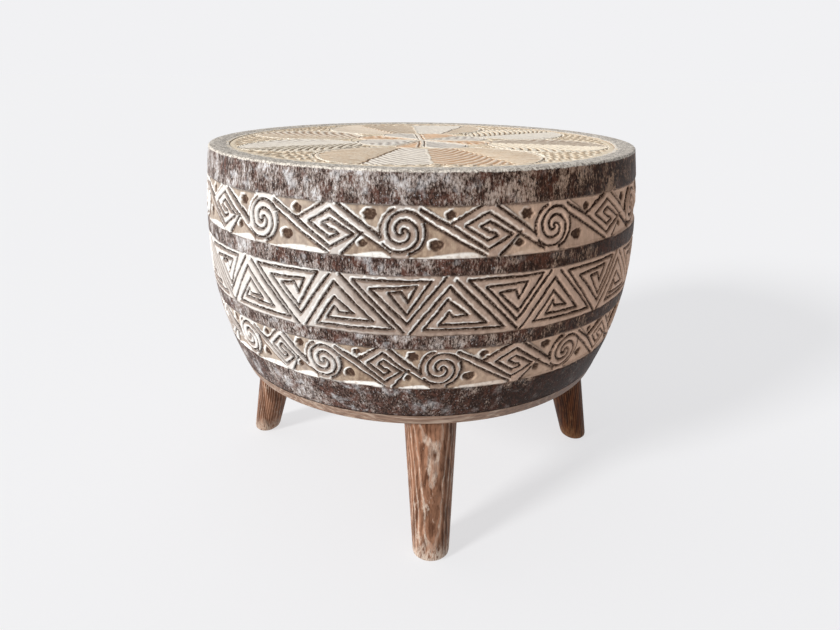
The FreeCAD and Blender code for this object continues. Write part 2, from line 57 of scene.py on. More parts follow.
# The drum's profile, as its solid has it
drum_low, drum_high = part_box("drum_body")
top_low, top_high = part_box("top_board")
RIM_TOP = drum_high.z / MM
BOARD_TOP = drum_low.z / MM
BELLY_RADIUS = round(drum_high.y / MM)
BELLY_DROP = 110.0
RIM_TUCK = 9.4
WAIST_TUCK = 25.5
WALL = 26.0
RIM_WIDTH = 22.0
LEDGE_WIDTH = 10.0
RIM_ROUND = 2.0
FLOOR = 45.0
HOLLOW_INSET = 13.5
TOP_FACE = top_high.z / MM
LEDGE_LEVEL = top_low.z / MM
RIM_RADIUS = BELLY_RADIUS - RIM_TUCK
WAIST_RADIUS = BELLY_RADIUS - WAIST_TUCK
HOLLOW_RADIUS = WAIST_RADIUS - HOLLOW_INSET
POCKET_RADIUS = RIM_RADIUS - RIM_WIDTH
TOP_RADIUS = top_high.x / MM

# Carved bands, measured down from the rim
UPPER = (29.3, 74.3)
MIDDLE = (90.2, 147.2)
LOWER = (161.5, 206.5)

# Mesh
CELL = 0.8
PLAIN_CELL = 2.4
STAVES = 8


def smooth(low, high, value):
    """Runs smoothly from 0 at low to 1 at high."""
    share = np.clip((value - low) / (high - low), 0.0, 1.0)
    return share * share * (3.0 - 2.0 * share)


# Lines and outlines that the carving follows, all on the unrolled wall

def inside_distance(x, y, outline):
    """Distance to a closed outline, positive inside it."""
    closed = list(outline) + [outline[0]]
    inside = np.zeros(x.shape, bool)
    for (ax, ay), (bx, by) in pairwise(closed):
        if ay == by:
            continue
        crosses = (y < ay) != (y < by)
        inside ^= crosses & (x < ax + (y - ay) * (bx - ax) / (by - ay))
    return np.where(inside, 1.0, -1.0) * line_offsets(x, y, [closed])[0]


def arc(centre_x, centre_y, radius, start, end, steps=10):
    """Points of an arc, with angles in degrees."""
    angles = np.radians(np.linspace(start, end, steps + 1))
    return [(centre_x + radius * math.cos(a), centre_y + radius * math.sin(a)) for a in angles]


def spiral(centre_x, centre_y, radii, start, steps=9):
    """A smooth line whose radius passes through the given ones, a quarter turn apart."""
    knots = np.arange(len(radii))
    fine = np.linspace(0, len(radii) - 1, steps * (len(radii) - 1) + 1)
    radius = np.interp(fine, knots, radii)
    radius[2:-2] = np.convolve(radius, np.ones(5) / 5, "valid")
    angle = math.radians(start) + fine * QUARTER
    return list(zip(centre_x + radius * np.cos(angle), centre_y + radius * np.sin(angle)))


# Running scroll: a roundel and a diamond, joined by slanting ribbons

HALF_SCROLL = (UPPER[1] - UPPER[0]) / 2
SCROLL_LENGTH = 142.8
ROUNDEL = 20.3
SPIRAL_SHARES = [1.0, 0.76, 0.6, 0.4, 0.2, 0.04]
SPIRAL_START = 33.0
DIAMOND_PLACE = 75.9
DIAMOND_HALF = 31.0
# Places in a diamond, as shares of its half width and of the band's half height
FIRST_KEY_SHARES = [(0.98, -0.13), (0.01, 0.73), (-0.66, 0.2), (0.01, -0.36), (0.28, -0.2), (0.2, -0.09)]
SECOND_KEY_SHARES = [(-0.98, 0.16), (0.01, -0.73), (0.75, -0.16), (0.03, 0.36), (-0.21, 0.18),
                     (0.03, -0.04), (0.2, -0.09)]
BOTTOM_CORNER_SHARE = (-0.04, -0.96)
RIGHT_CORNER_SHARE = (1.01, -0.09)
LEFT_VERTEX_SHARE = (-1.1, 0.27)
TOP_CORNER_SHARE = (0.24, 0.98)
UPPER_EDGE_SHARES = [LEFT_VERTEX_SHARE, (-0.18, 0.98)]
LOWER_EDGE_SHARES = [(0.38, -0.95), RIGHT_CORNER_SHARE]
# Places on a roundel, as shares of its radius
FIRST_LINK_SHARE = (0.77, 0.94)
SECOND_LINK_SHARE = (0.84, 0.54)
THIRD_LINK_SHARES = [(-1.13, -0.11), (-0.96, -0.27)]
FOURTH_LINK_SHARE = (-0.52, -0.93)
# Pits: middle along the scroll and up the band, half width, half height and number of corners
PITS = [
    (41.9, 14.2, 5.2, 4.4, 5),
    (29.5, -10.6, 6.9, 5.1, 3),
    (113.2, 13.8, 6.6, 4.9, 6),
    (106.4, -11.0, 4.6, 3.9, 4),
]


def diamond_points(shares):
    return [(DIAMOND_PLACE + DIAMOND_HALF * x, HALF_SCROLL * y) for x, y in shares]


def roundel_points(shares, place):
    return [(place + ROUNDEL * x, ROUNDEL * y) for x, y in shares]


def scroll_lines():
    """Grooves of one repeat, with the roundels at both of its ends."""
    lines = []
    radii = [ROUNDEL * share for share in SPIRAL_SHARES]
    for place in (0.0, SCROLL_LENGTH):
        first = spiral(place, 0.0, radii, SPIRAL_START)
        second = spiral(place, 0.0, radii, SPIRAL_START + 180)
        lines += [first + second[::-1]]
        lines += [arc(place, 0.0, ROUNDEL, 112, 196), arc(place, 0.0, ROUNDEL * 0.97, 20, -72)]
    diamond = diamond_points
    start = roundel_points([FIRST_LINK_SHARE, SECOND_LINK_SHARE], 0.0)
    end = roundel_points(THIRD_LINK_SHARES + [FOURTH_LINK_SHARE], SCROLL_LENGTH)
    lines.append([start[0]] + diamond(SECOND_KEY_SHARES))
    lines.append([start[1]] + diamond([BOTTOM_CORNER_SHARE]))
    lines.append(diamond([TOP_CORNER_SHARE]) + end[:2])
    lines.append([end[2]] + diamond(FIRST_KEY_SHARES))
    lines.append(diamond(UPPER_EDGE_SHARES))
    lines.append(diamond(LOWER_EDGE_SHARES))
    return lines


def scroll_fields():
    """The four sunk fields between the ribbons of one repeat."""
    height = HALF_SCROLL
    left_vertex, right_corner = diamond_points([LEFT_VERTEX_SHARE, RIGHT_CORNER_SHARE])
    top_corner, upper_edge = diamond_points([TOP_CORNER_SHARE, UPPER_EDGE_SHARES[1]])
    bottom_corner, lower_edge = diamond_points([BOTTOM_CORNER_SHARE, LOWER_EDGE_SHARES[0]])
    first, second = roundel_points([FIRST_LINK_SHARE, SECOND_LINK_SHARE], 0.0)
    third, foot = roundel_points([THIRD_LINK_SHARES[0], FOURTH_LINK_SHARE], SCROLL_LENGTH)
    right_side = arc(0.0, 0.0, ROUNDEL, 22, -74)
    left_side = arc(SCROLL_LENGTH, 0.0, ROUNDEL, 112, 184)
    return [
        [(first[0], height), (upper_edge[0], height), left_vertex],
        [second] + right_side + [(right_side[-1][0], -height), (bottom_corner[0], -height)],
        [(top_corner[0] + 4.0, height), (left_side[0][0], height)] + left_side + [third],
        [right_corner, foot, (foot[0], -height), (lower_edge[0], -height)],
    ]


# Middle band: double meanders in triangles that point up and down by turns.
# Places are shares of a repeat, from an upper apex on, and of the band's half height.

MIDDLE_HALF = (MIDDLE[1] - MIDDLE[0]) / 2
MIDDLE_REPEATS = 15
MIDDLE_START = 6.3
UP_SHARES = [(0.038, 0.895), (0.5, -0.8), (-0.217, -0.8), (-0.0125, 0.206), (0.167, -0.364), (0.008, -0.364),
             (-0.021, -0.175), (-0.1, -0.587), (0.333, -0.573), (-0.017, 0.657), (-0.342, -0.94)]
DOWN_SHARES = [(0.604, -0.958), (0.15, 0.79), (0.842, 0.867), (0.617, -0.329), (0.446, 0.371), (0.583, 0.44),
               (0.625, 0.126), (0.696, 0.633), (0.308, 0.545), (0.6125, -0.608), (0.946, 0.93)]
MIDDLE_JITTER = 0.012

# Where the roundels of the scrolls stand, in degrees from the front towards +X
UPPER_PLACES = [-3.6 + 360 / 11 * k for k in range(12)]
LOWER_PLACES = [-47.0, -22.4, 4.9] + [37.0 + 27.6 * k for k in range(11)]
ZONE = 21.0

# Cuts
GROOVE_HALF = 1.7
SLOPE_SHARE = 0.25
GROOVE_DEPTH = 2.1
RIB_ROUND = 0.6
FIELD_DEPTH = 2.0
FIELD_WALL = 2.2
PIT_DEPTH = 2.2
PIT_WALL = 1.5
RAGGED = 0.24
BORDER_DEPTH = 0.7
BORDER_HALF = 0.9
BEVEL = 3.2
LIGHT_SIDE = (-0.6, 0.8)
GIRTH = FULL * BELLY_RADIUS
TURN = GIRTH / 360
FINISH = 0.1
NOISE_REACH = 300.0
# How far past a band its cuts and its fine rows go
BAND_REACH = 3.0
BAND_MARGIN = 2.0
# What the cuts leave for the wall's material
PAINTED = ("groove", "lime", "tan", "field", "pit", "frieze")


def wander(u, v, size, seed):
    """Smooth noise from -1 to 1, on a lattice that closes round the drum."""
    draw = np.random.default_rng(SEED + seed)
    across = max(3, round(GIRTH / size))
    column, row = u / GIRTH * across, v / size
    low = -math.ceil(NOISE_REACH / size) - 1
    lattice = draw.uniform(-1.0, 1.0, (3 - 2 * low, across))
    i, j = np.floor(column).astype(int), np.floor(row).astype(int)
    s, t = smooth(0.0, 1.0, column - i), smooth(0.0, 1.0, row - j)
    j = j - low
    below = lattice[j, i % across] * (1 - s) + lattice[j, (i + 1) % across] * s
    above = lattice[j + 1, i % across] * (1 - s) + lattice[j + 1, (i + 1) % across] * s
    return below * (1 - t) + above * t


def line_offsets(x, y, lines):
    """Distance to the nearest line, and how far that way is towards the light side, from -1 to 1."""
    nearest = np.full(x.shape, 1e3)
    side = np.zeros(x.shape)
    for line in lines:
        for (ax, ay), (bx, by) in pairwise(line):
            run_x, run_y = bx - ax, by - ay
            share = np.clip(((x - ax) * run_x + (y - ay) * run_y) / (run_x ** 2 + run_y ** 2), 0.0, 1.0)
            off_x, off_y = x - ax - share * run_x, y - ay - share * run_y
            distance = np.hypot(off_x, off_y)
            towards = (off_x * LIGHT_SIDE[0] + off_y * LIGHT_SIDE[1]) / np.maximum(distance, 1e-6)
            closer = distance < nearest
            nearest = np.where(closer, distance, nearest)
            side = np.where(closer, towards, side)
    return nearest, side


def blank(shape):
    return {name: np.zeros(shape) for name in ("depth", "ragged", "slant") + PAINTED}


def lift(cuts, name, values):
    cuts[name] = np.maximum(cuts[name], values)


def cut_lines(cuts, x, y, lines):
    near, side = line_offsets(x, y, lines)
    share = near / (GROOVE_HALF * (1.0 + SLOPE_SHARE * side) * (1.0 + cuts["ragged"]))
    light = smooth(-0.1, 0.4, side)
    cuts["depth"] += GROOVE_DEPTH * (1.0 - smooth(0.3, 1.05, share))
    cuts["depth"] += RIB_ROUND * (1.0 - smooth(0.6, 1.9, share))
    lift(cuts, "groove", 1.0 - smooth(0.66 - 0.12 * light, 0.95 - 0.15 * light, share))
    lift(cuts, "lime", light * smooth(0.72, 0.88, share) * (1.0 - smooth(1.4, 1.68, share)))
    # Painted shade on the side of each groove away from the light
    lift(cuts, "tan", smooth(0.1, -0.4, side) * smooth(0.7, 0.95, share) * (1.0 - smooth(1.5, 2.1, share)))


def cut_field(cuts, x, y, outline, half_height):
    inside = inside_distance(x, y, outline)
    cuts["depth"] += FIELD_DEPTH * smooth(-0.2, FIELD_WALL, inside)
    lift(cuts, "field", smooth(0.0, 1.0, inside))
    lift(cuts, "groove", 0.75 * smooth(-0.2, 0.3, inside) * (1.0 - smooth(0.6, 1.6, inside)))
    places = [px for px, py in outline]
    along = (x - min(places)) / (max(places) - min(places))
    wedge = (0.15 + 1.35 * smooth(0.0, 0.75, along)) * (1.0 - 0.8 * smooth(0.8, 1.0, along))
    height = BEVEL * wedge * (1.0 + 0.3 * cuts["slant"])
    bevel = smooth(-0.3, 0.3, inside) * (1.0 - smooth(0.7, 1.0, (y + half_height) / height))
    lift(cuts, "lime", 0.8 * bevel)
    cuts["groove"] *= 1.0 - bevel


def cut_pit(cuts, x, y, pit, scale):
    place, height, half_width, half_height, corners = pit
    up, over = (y - height) / half_height, (x - place) / (half_width * scale)
    angle, reach = np.arctan2(up, over), np.hypot(up, over)
    edge = 1.0 + 0.09 * np.cos(corners * angle + place) + 0.5 * cuts["ragged"]
    inside = (edge - reach) * min(half_width * scale, half_height)
    cuts["depth"] += PIT_DEPTH * smooth(-0.6, PIT_WALL, inside)
    lift(cuts, "pit", smooth(0.0, 0.9, inside))
    ring = smooth(-2.0, -1.3, inside) * (1.0 - smooth(-0.2, 0.3, inside))
    lift(cuts, "lime", ring * smooth(0.2, 0.9, -np.cos(angle) + 0.6 * np.sin(angle)))


@contextmanager
def one_repeat(cuts, chosen, offset, warp, y):
    """The chosen columns of a band, to be cut alone and put back."""
    columns = np.flatnonzero(chosen)
    here = {name: values[:, columns] for name, values in cuts.items()}
    yield here, offset[columns] + warp[:, columns], y[:, columns]
    for name in cuts:
        cuts[name][:, columns] = here[name]


def scroll_band(cuts, u, warp, y, places):
    """The scroll round the drum. u runs along the wall in millimetres, y up from the band's middle."""
    for number, (start, end) in enumerate(pairwise(places)):
        length = (end - start) * TURN
        scale = (length - 2 * ZONE) / (SCROLL_LENGTH - 2 * ZONE)
        draw = np.random.default_rng(SEED + 100 + number + len(places))

        def along(x):
            if x > SCROLL_LENGTH - ZONE:
                return length - SCROLL_LENGTH + x
            return x if x < ZONE else ZONE + (x - ZONE) * scale

        offset = (u - start * TURN) % GIRTH
        with one_repeat(cuts, offset < length, offset, warp, y) as (here, x, rise):
            for outline in scroll_fields():
                cut_field(here, x, rise, [(along(px), py) for px, py in outline], HALF_SCROLL)
            cut_lines(here, x, rise, [[(along(px), py) for px, py in line] for line in scroll_lines()])
            for pit in PITS:
                shift = draw.uniform(-0.8, 0.8, 2)
                moved = (along(pit[0]) + shift[0], pit[1] + 0.6 * shift[1]) + pit[2:]
                cut_pit(here, x, rise, moved, min(1.0, 0.35 + 0.65 * scale))


def meander_band(cuts, u, warp, y):
    width = GIRTH / MIDDLE_REPEATS
    draw = np.random.default_rng(SEED + 200)
    jitter = draw.normal(0.0, MIDDLE_JITTER, (MIDDLE_REPEATS, 2, len(UP_SHARES), 2))
    for number in range(MIDDLE_REPEATS):
        offset = (u - MIDDLE_START * TURN) % GIRTH
        chosen = (offset >= number * width) & (offset < (number + 1) * width)
        lines = []
        for step in (-1, 0, 1):
            wobble = jitter[(number + step) % MIDDLE_REPEATS]
            for which, shares in enumerate((UP_SHARES, DOWN_SHARES)):
                lines.append([((step + px + wobble[which, k, 0]) * width,
                               (py + 2 * wobble[which, k, 1]) * MIDDLE_HALF)
                              for k, (px, py) in enumerate(shares)])
        with one_repeat(cuts, chosen, offset - number * width, warp, y) as (here, x, rise):
            cut_lines(here, x, rise, lines)


def carve(azimuth, drop):
    """All the cuts of the wall, for grids of azimuth in degrees and of millimetres below the rim."""
    cuts = blank(azimuth.shape)
    u = azimuth * TURN
    warp_u, warp_v = [0.45 * wander(u, drop, 16.0, seed) + 0.16 * wander(u, drop, 4.0, seed + 1)
                      for seed in (1, 3)]
    for band, places in ((UPPER, UPPER_PLACES), (MIDDLE, None), (LOWER, LOWER_PLACES)):
        middle, half = (band[0] + band[1]) / 2, (band[1] - band[0]) / 2
        rows = np.flatnonzero(np.abs(drop[:, 0] - middle) < half + BAND_REACH)

        def stir(size, seed, share=1.0):
            return wander(u[rows], share * drop[rows], size, seed)

        here = blank((len(rows), azimuth.shape[1]))
        here["ragged"] = RAGGED * (stir(2.6, 9) + 0.7 * stir(8.0, 10))
        here["slant"] = stir(20.0, 11, 0.1)
        rise = (middle - drop + warp_v)[rows]
        if places:
            scroll_band(here, u[0], warp_u[rows], rise, places)
        else:
            meander_band(here, u[0], warp_u[rows], rise)
        edge = half - np.abs(rise + (0.6 * stir(30.0, 5) + 0.35 * stir(5.0, 12)))
        mask = smooth(-0.5, 0.4, edge)
        for name in here:
            here[name] *= mask
        here["frieze"] = mask
        border = 1.0 - smooth(0.2, 1.0, np.abs(edge) / BORDER_HALF)
        lift(here, "depth", BORDER_DEPTH * border)
        lift(here, "groove", 0.6 * border * (1.0 - here["lime"]))
        for name in cuts:
            cuts[name][rows] = here[name]
    rough = wander(u, drop, 3.0, 6)
    cuts["depth"] *= 0.93 + 0.12 * wander(u, drop, 24.0, 7) + 0.05 * rough
    cuts["depth"] += 0.06 * (rough + 1.0) + 0.12 * (wander(u, drop * 0.3, 9.0, 8) + 1.0)
    return cuts


# The wall's section, as radius and level, from its lower edge up and round the inside

BELLY_LEVEL = RIM_TOP - BELLY_DROP
POCKET_EASE = 0.4
RIM_WEAR = 0.9
INNER_BELLY = BELLY_RADIUS - WALL
HOLLOW_ROUND = 6.0
CORNER_IN, CORNER_UP = 1.6, 1.7
HOLLOW_FLOOR = BOARD_TOP + FLOOR
DISC_RADIUS = 205.0


def bow(level, widest, radius, end_level):
    """Radius at a level, on the arc from the belly's widest place to a radius at an end level."""
    tuck, rise = widest - radius, abs(end_level - BELLY_LEVEL)
    bend = (tuck ** 2 + rise ** 2) / (2 * tuck)
    return widest - bend + math.sqrt(bend ** 2 - (level - BELLY_LEVEL) ** 2)


def outer_levels():
    """Levels of the outer rows, close in the carved bands."""
    marks = [BOARD_TOP]
    for high, low in (LOWER, MIDDLE, UPPER):
        marks += [RIM_TOP - low - BAND_MARGIN, RIM_TOP - high + BAND_MARGIN]
    marks.append(RIM_TOP - RIM_ROUND)
    levels = []
    for number, (low, high) in enumerate(pairwise(marks)):
        cell = CELL if number % 2 else PLAIN_CELL
        levels += list(np.linspace(low, high, max(2, round((high - low) / cell)), endpoint=False))
    return levels + [marks[-1]]


def section():
    """Radius and level of every row, and how many rows the carved outside and the rim end at."""
    rows = []
    for level in outer_levels():
        below = level < BELLY_LEVEL
        end = (WAIST_RADIUS, BOARD_TOP) if below else (RIM_RADIUS, RIM_TOP)
        rows.append((bow(level, BELLY_RADIUS, *end) - FINISH, level))
    outside = len(rows)
    corner = rows[-1][0] - RIM_ROUND
    rows += arc(corner, RIM_TOP - RIM_ROUND, RIM_ROUND, 0, 90, 5)[1:]
    share = np.linspace(0.0, 1.0, 12)[1:]
    ring = corner + (POCKET_RADIUS + POCKET_EASE - corner) * share
    rows += list(zip(ring, RIM_TOP - RIM_WEAR * smooth(0.4, 1.0, share)))
    rim = len(rows)
    rows += [(POCKET_RADIUS, RIM_TOP - RIM_WEAR - POCKET_EASE), (POCKET_RADIUS, LEDGE_LEVEL)]
    rows.append((POCKET_RADIUS - LEDGE_WIDTH, LEDGE_LEVEL))
    for level in np.linspace(LEDGE_LEVEL, HOLLOW_FLOOR + HOLLOW_ROUND, 13)[1:]:
        above = level > BELLY_LEVEL
        end = (POCKET_RADIUS - LEDGE_WIDTH, LEDGE_LEVEL) if above else (HOLLOW_RADIUS, HOLLOW_FLOOR)
        rows.append((bow(level, INNER_BELLY, *end), level))
    rows += [(HOLLOW_RADIUS - CORNER_IN, HOLLOW_FLOOR + CORNER_UP), (DISC_RADIUS, HOLLOW_FLOOR),
             (DISC_RADIUS, BOARD_TOP)]
    return np.array(rows), outside, rim


# Meshes

def together(*columns, width=None):
    """One row for each place of the given grids, or several of a width."""
    return np.stack(columns, axis=-1).reshape(-1, width or len(columns))


def cells(low, high, column, wide):
    """Quads between rows of a grid that is some points wide."""
    low, high = low * wide + column, high * wide + column
    return together(low, low + 1, high + 1, high)


def show(name, data):
    """Puts a new object in the scene."""
    piece = bpy.data.objects.new(name, data)
    bpy.context.scene.collection.objects.link(piece)
    return piece


def make_mesh(name, points, polygons, normals, maps, values):
    """A mesh object from points in millimetres and polygons given as index arrays."""
    mesh = bpy.data.meshes.new(name)
    mesh.vertices.add(len(points))
    mesh.vertices.foreach_set("co", (np.asarray(points, float) * MM).ravel())
    corners = np.concatenate([np.ravel(faces) for faces in polygons])
    sizes = np.concatenate([np.full(len(faces), np.shape(faces)[1]) for faces in polygons])
    mesh.loops.add(len(corners))
    mesh.loops.foreach_set("vertex_index", corners)
    mesh.polygons.add(len(sizes))
    mesh.polygons.foreach_set("loop_start", np.concatenate([[0], np.cumsum(sizes)[:-1]]))
    mesh.polygons.foreach_set("use_smooth", np.ones(len(sizes), bool))
    mesh.update(calc_edges=True)
    mesh.uv_layers.new(name="OFBake").data.foreach_set("uv", np.concatenate(maps).ravel())
    for label, numbers in values.items():
        if np.ndim(numbers) == 1:
            mesh.attributes.new(label, "FLOAT", "POINT").data.foreach_set("value", numbers)
        else:
            colours = np.concatenate([numbers, np.ones((len(numbers), 1))], axis=1)
            mesh.attributes.new(label, "FLOAT_COLOR", "POINT").data.foreach_set("color", colours.ravel())
    mesh.normals_split_custom_set_from_vertices(normals)
    return show(name, mesh)


def place(piece, node, slot):
    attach(piece, "root")
    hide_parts(node)
    return piece


# The carved wall, as eight closed staves that meet without a gap

COLUMNS = round(GIRTH / CELL / STAVES)
# Where strips and caps lie in the maps, as shares of the map
MAP_EDGE = 0.01
MAP_WIDE = 0.98
MAP_HIGH = 0.9
START_CAP_PLACE = (0.02, 0.93)
END_CAP_PLACE = (0.12, 0.93)
CAP_SCALE = 5000.0


def build_wall():
    rows, outside, rim = section()
    radius, level = rows.T
    columns = STAVES * COLUMNS
    azimuth = np.arange(columns) * 360 / columns
    grid_azimuth, grid_drop = np.meshgrid(azimuth, RIM_TOP - level[:outside])
    cuts = carve(grid_azimuth, grid_drop)
    cuts["depth"] *= smooth(0.0, BAND_REACH, grid_drop - RIM_ROUND)
    tilt = np.gradient(radius[:outside], level[:outside])
    lean = np.hypot(1.0, tilt)
    full_radius, full_level = (np.repeat(values[:, None], columns, axis=1) for values in rows.T)
    full_radius[:outside] -= cuts["depth"] / lean[:, None]
    full_level[:outside] += cuts["depth"] * (tilt / lean)[:, None]
    full_level[0] = BOARD_TOP
    turn = np.radians(azimuth)
    grid = np.stack([full_radius * np.sin(turn), -full_radius * np.cos(turn), full_level], axis=-1)
    across = np.roll(grid, -1, axis=1) - np.roll(grid, 1, axis=1)
    upward = np.roll(grid, -1, axis=0) - np.roll(grid, 1, axis=0)
    normals = np.cross(across, upward)
    normals /= np.linalg.norm(normals, axis=-1, keepdims=True)
    steps = np.linalg.norm(np.diff(np.vstack([rows, rows[:1]]), axis=0), axis=1)
    run = np.concatenate([[0.0], np.cumsum(steps)]) / steps.sum()
    count = len(rows)
    j, i = np.meshgrid(np.arange(count), np.arange(COLUMNS), indexing="ij")
    wide = COLUMNS + 1
    quads = cells(j, (j + 1) % count, i, wide)
    start_cap = np.arange(count)[None] * wide
    end_cap = start_cap[:, ::-1] + COLUMNS
    left, right = (MAP_EDGE + MAP_WIDE * (i + step) / COLUMNS for step in (0, 1))
    low, high = (MAP_EDGE + MAP_HIGH * run[j + step] for step in (0, 1))
    strip_map = together(left, low, right, low, right, high, left, high, width=2)
    flat = (rows - rows.min(axis=0)) / CAP_SCALE
    bare = np.zeros((count, wide))
    bare[rim:] = 1.0
    staves = []
    for number in range(STAVES):
        chosen = (number * COLUMNS + np.arange(wide)) % columns
        values = {}
        for name in PAINTED:
            numbers = np.zeros((count, wide))
            numbers[:outside] = cuts[name][:, chosen]
            values[name] = numbers.ravel()
        values["bare"] = bare.ravel()
        stave = make_mesh(f"carved_wall_{number + 1}", grid[:, chosen].reshape(-1, 3),
                          [quads, start_cap, end_cap], normals[:, chosen].reshape(-1, 3),
                          [strip_map, flat + START_CAP_PLACE, flat[::-1] + END_CAP_PLACE], values)
        staves.append(place(stave, "drum_body", "stained_wall"))
    return staves


# Plain discs with their bored holes, under the carved skins

TENON_HOLE = 14.1
PEG_HOLE = 4.05
LEG_AZIMUTHS = [3.7, 96.2, 180.0, 260.6]
LEG_PLACE = 187.0
FOOT_PLACE = 224.0
BASE_PEG_PLACE = 140.0
BASE_PEG_TOP = BOARD_TOP + 28.0
LEG_CLEAR = 157.0
OVERRUN = 10.0
ROD_SIDES = 48
DISC_SIDES = 192


def rod(low, high, radius, sides=ROD_SIDES):
    """A round rod from one point to another, as a bmesh."""
    shape = bmesh.new()
    low, high = Vector(low) * MM, Vector(high) * MM
    axis = high - low
    turn = axis.to_track_quat("Z", "X").to_matrix().to_4x4()
    middle = Matrix.Translation((low + high) / 2)
    bmesh.ops.create_cone(shape, cap_ends=True, segments=sides, radius1=radius * MM, radius2=radius * MM,
                          depth=axis.length, matrix=middle @ turn)
    return shape


def bored_disc(name, radius, low, high, bores, node, slot):
    """A disc with holes bored into it."""
    shape = rod((0, 0, low), (0, 0, high), radius, DISC_SIDES)
    mesh = bpy.data.meshes.new(name)
    shape.to_mesh(mesh)
    disc = show(name, mesh)
    cutters = bpy.data.meshes.new(name + "_bores")
    joined = bmesh.new()
    for bore in bores:
        rod(*bore).to_mesh(cutters)
        joined.from_mesh(cutters)
    joined.to_mesh(cutters)
    tool = show(name + "_bores", cutters)
    cut = disc.modifiers.new("bores", "BOOLEAN")
    cut.operation = "DIFFERENCE"
    cut.solver = "EXACT"
    cut.object = tool
    bpy.context.view_layer.update()
    bored = bpy.data.meshes.new_from_object(disc.evaluated_get(bpy.context.evaluated_depsgraph_get()))
    disc.modifiers.clear()
    disc.data = bored
    bpy.data.objects.remove(tool)
    return place(disc, node, slot)


def around(radius, level, degrees):
    turn = math.radians(degrees)
    return radius * math.sin(turn), -radius * math.cos(turn), level


def build_floor():
    slope = (FOOT_PLACE - LEG_PLACE) / LEG_CLEAR
    ends = [(LEG_PLACE - slope * (level - LEG_CLEAR), level)
            for level in (BOARD_TOP - OVERRUN, HOLLOW_FLOOR + OVERRUN)]
    bores = [[around(*end, degrees) for end in ends] + [TENON_HOLE] for degrees in LEG_AZIMUTHS]
    ends = [(BASE_PEG_PLACE, level) for level in (BOARD_TOP - OVERRUN, BASE_PEG_TOP)]
    bores += [[around(*end, degrees) for end in ends] + [PEG_HOLE] for degrees in range(0, 360, 45)]
    return bored_disc("drum_floor", DISC_RADIUS, BOARD_TOP, HOLLOW_FLOOR, bores, "drum_body", "stained_wall")


# The carved top: a rosette of eight leaves round a small flower

SKIN = 6.0
TOP_CELLS = 240
BATTEN_PLACE = 100.0
BATTEN_PEG_PLACES = [-127.5, -42.5, 42.5, 127.5]
BATTEN_PEG_TOP = LEDGE_LEVEL + 9.0
FLOWER = 83.0
LEAF_START, LEAF_END = 76.0, 213.0
LEAF_MIDRIBS = [-15.5, 24.0, 77.0, 125.0, 163.0, 205.5, 255.0, 297.0]
LEAF_EDGES = [3.0, 48.0, 100.0, 148.0, 184.0, 231.0, 271.0, 317.0]
STRAIGHT_EDGES = (0, 4)
FLOWER_EDGES = [0.0, 50.0, 90.0, 138.0, 184.0, 228.0, 270.0, 335.0]
BARB_PITCH = 8.5
FINE_PITCH = 10.5
GROUND_PITCH = 10.0
GROUND_TEETH = 82
# Half widths of lines and of the trench between them, on the leaves and on the flower
EDGE_HALF = 1.3
OUTLINE_HALF = 1.9
TRENCH_HALF = 1.5
MIDRIB_HALF = 1.1
FLOWER_LINE_HALF = 1.0
FLOWER_TRENCH_HALF = 0.9
TOP_ARRIS = 0.5
SIDE_MAP_PLACES = (0.93, 0.95)
BOTTOM_MAP_PLACE = (0.93, 0.1)
BOTTOM_MAP_SHARE = 0.03
SLOPE_STEP = 0.3
# Colours, linear
CREAM = (0.78, 0.62, 0.41)
WHITE = (0.68, 0.64, 0.6)
TAN = (0.62, 0.38, 0.18)
ORANGE = (0.8, 0.39, 0.14)
PINK = (0.66, 0.47, 0.32)
BROWN = (0.38, 0.22, 0.12)
# Each leaf's lower and higher half. The cream ones have coarse barbs.
LEAF_COLOURS = [(TAN, WHITE), (ORANGE, TAN), (CREAM, BROWN), (WHITE, CREAM),
                (TAN, WHITE), (TAN, PINK), (BROWN, TAN), (WHITE, CREAM)]


def stroke(distance, half, edge=0.5):
    return 1.0 - smooth(half - edge, half + edge, np.abs(distance))


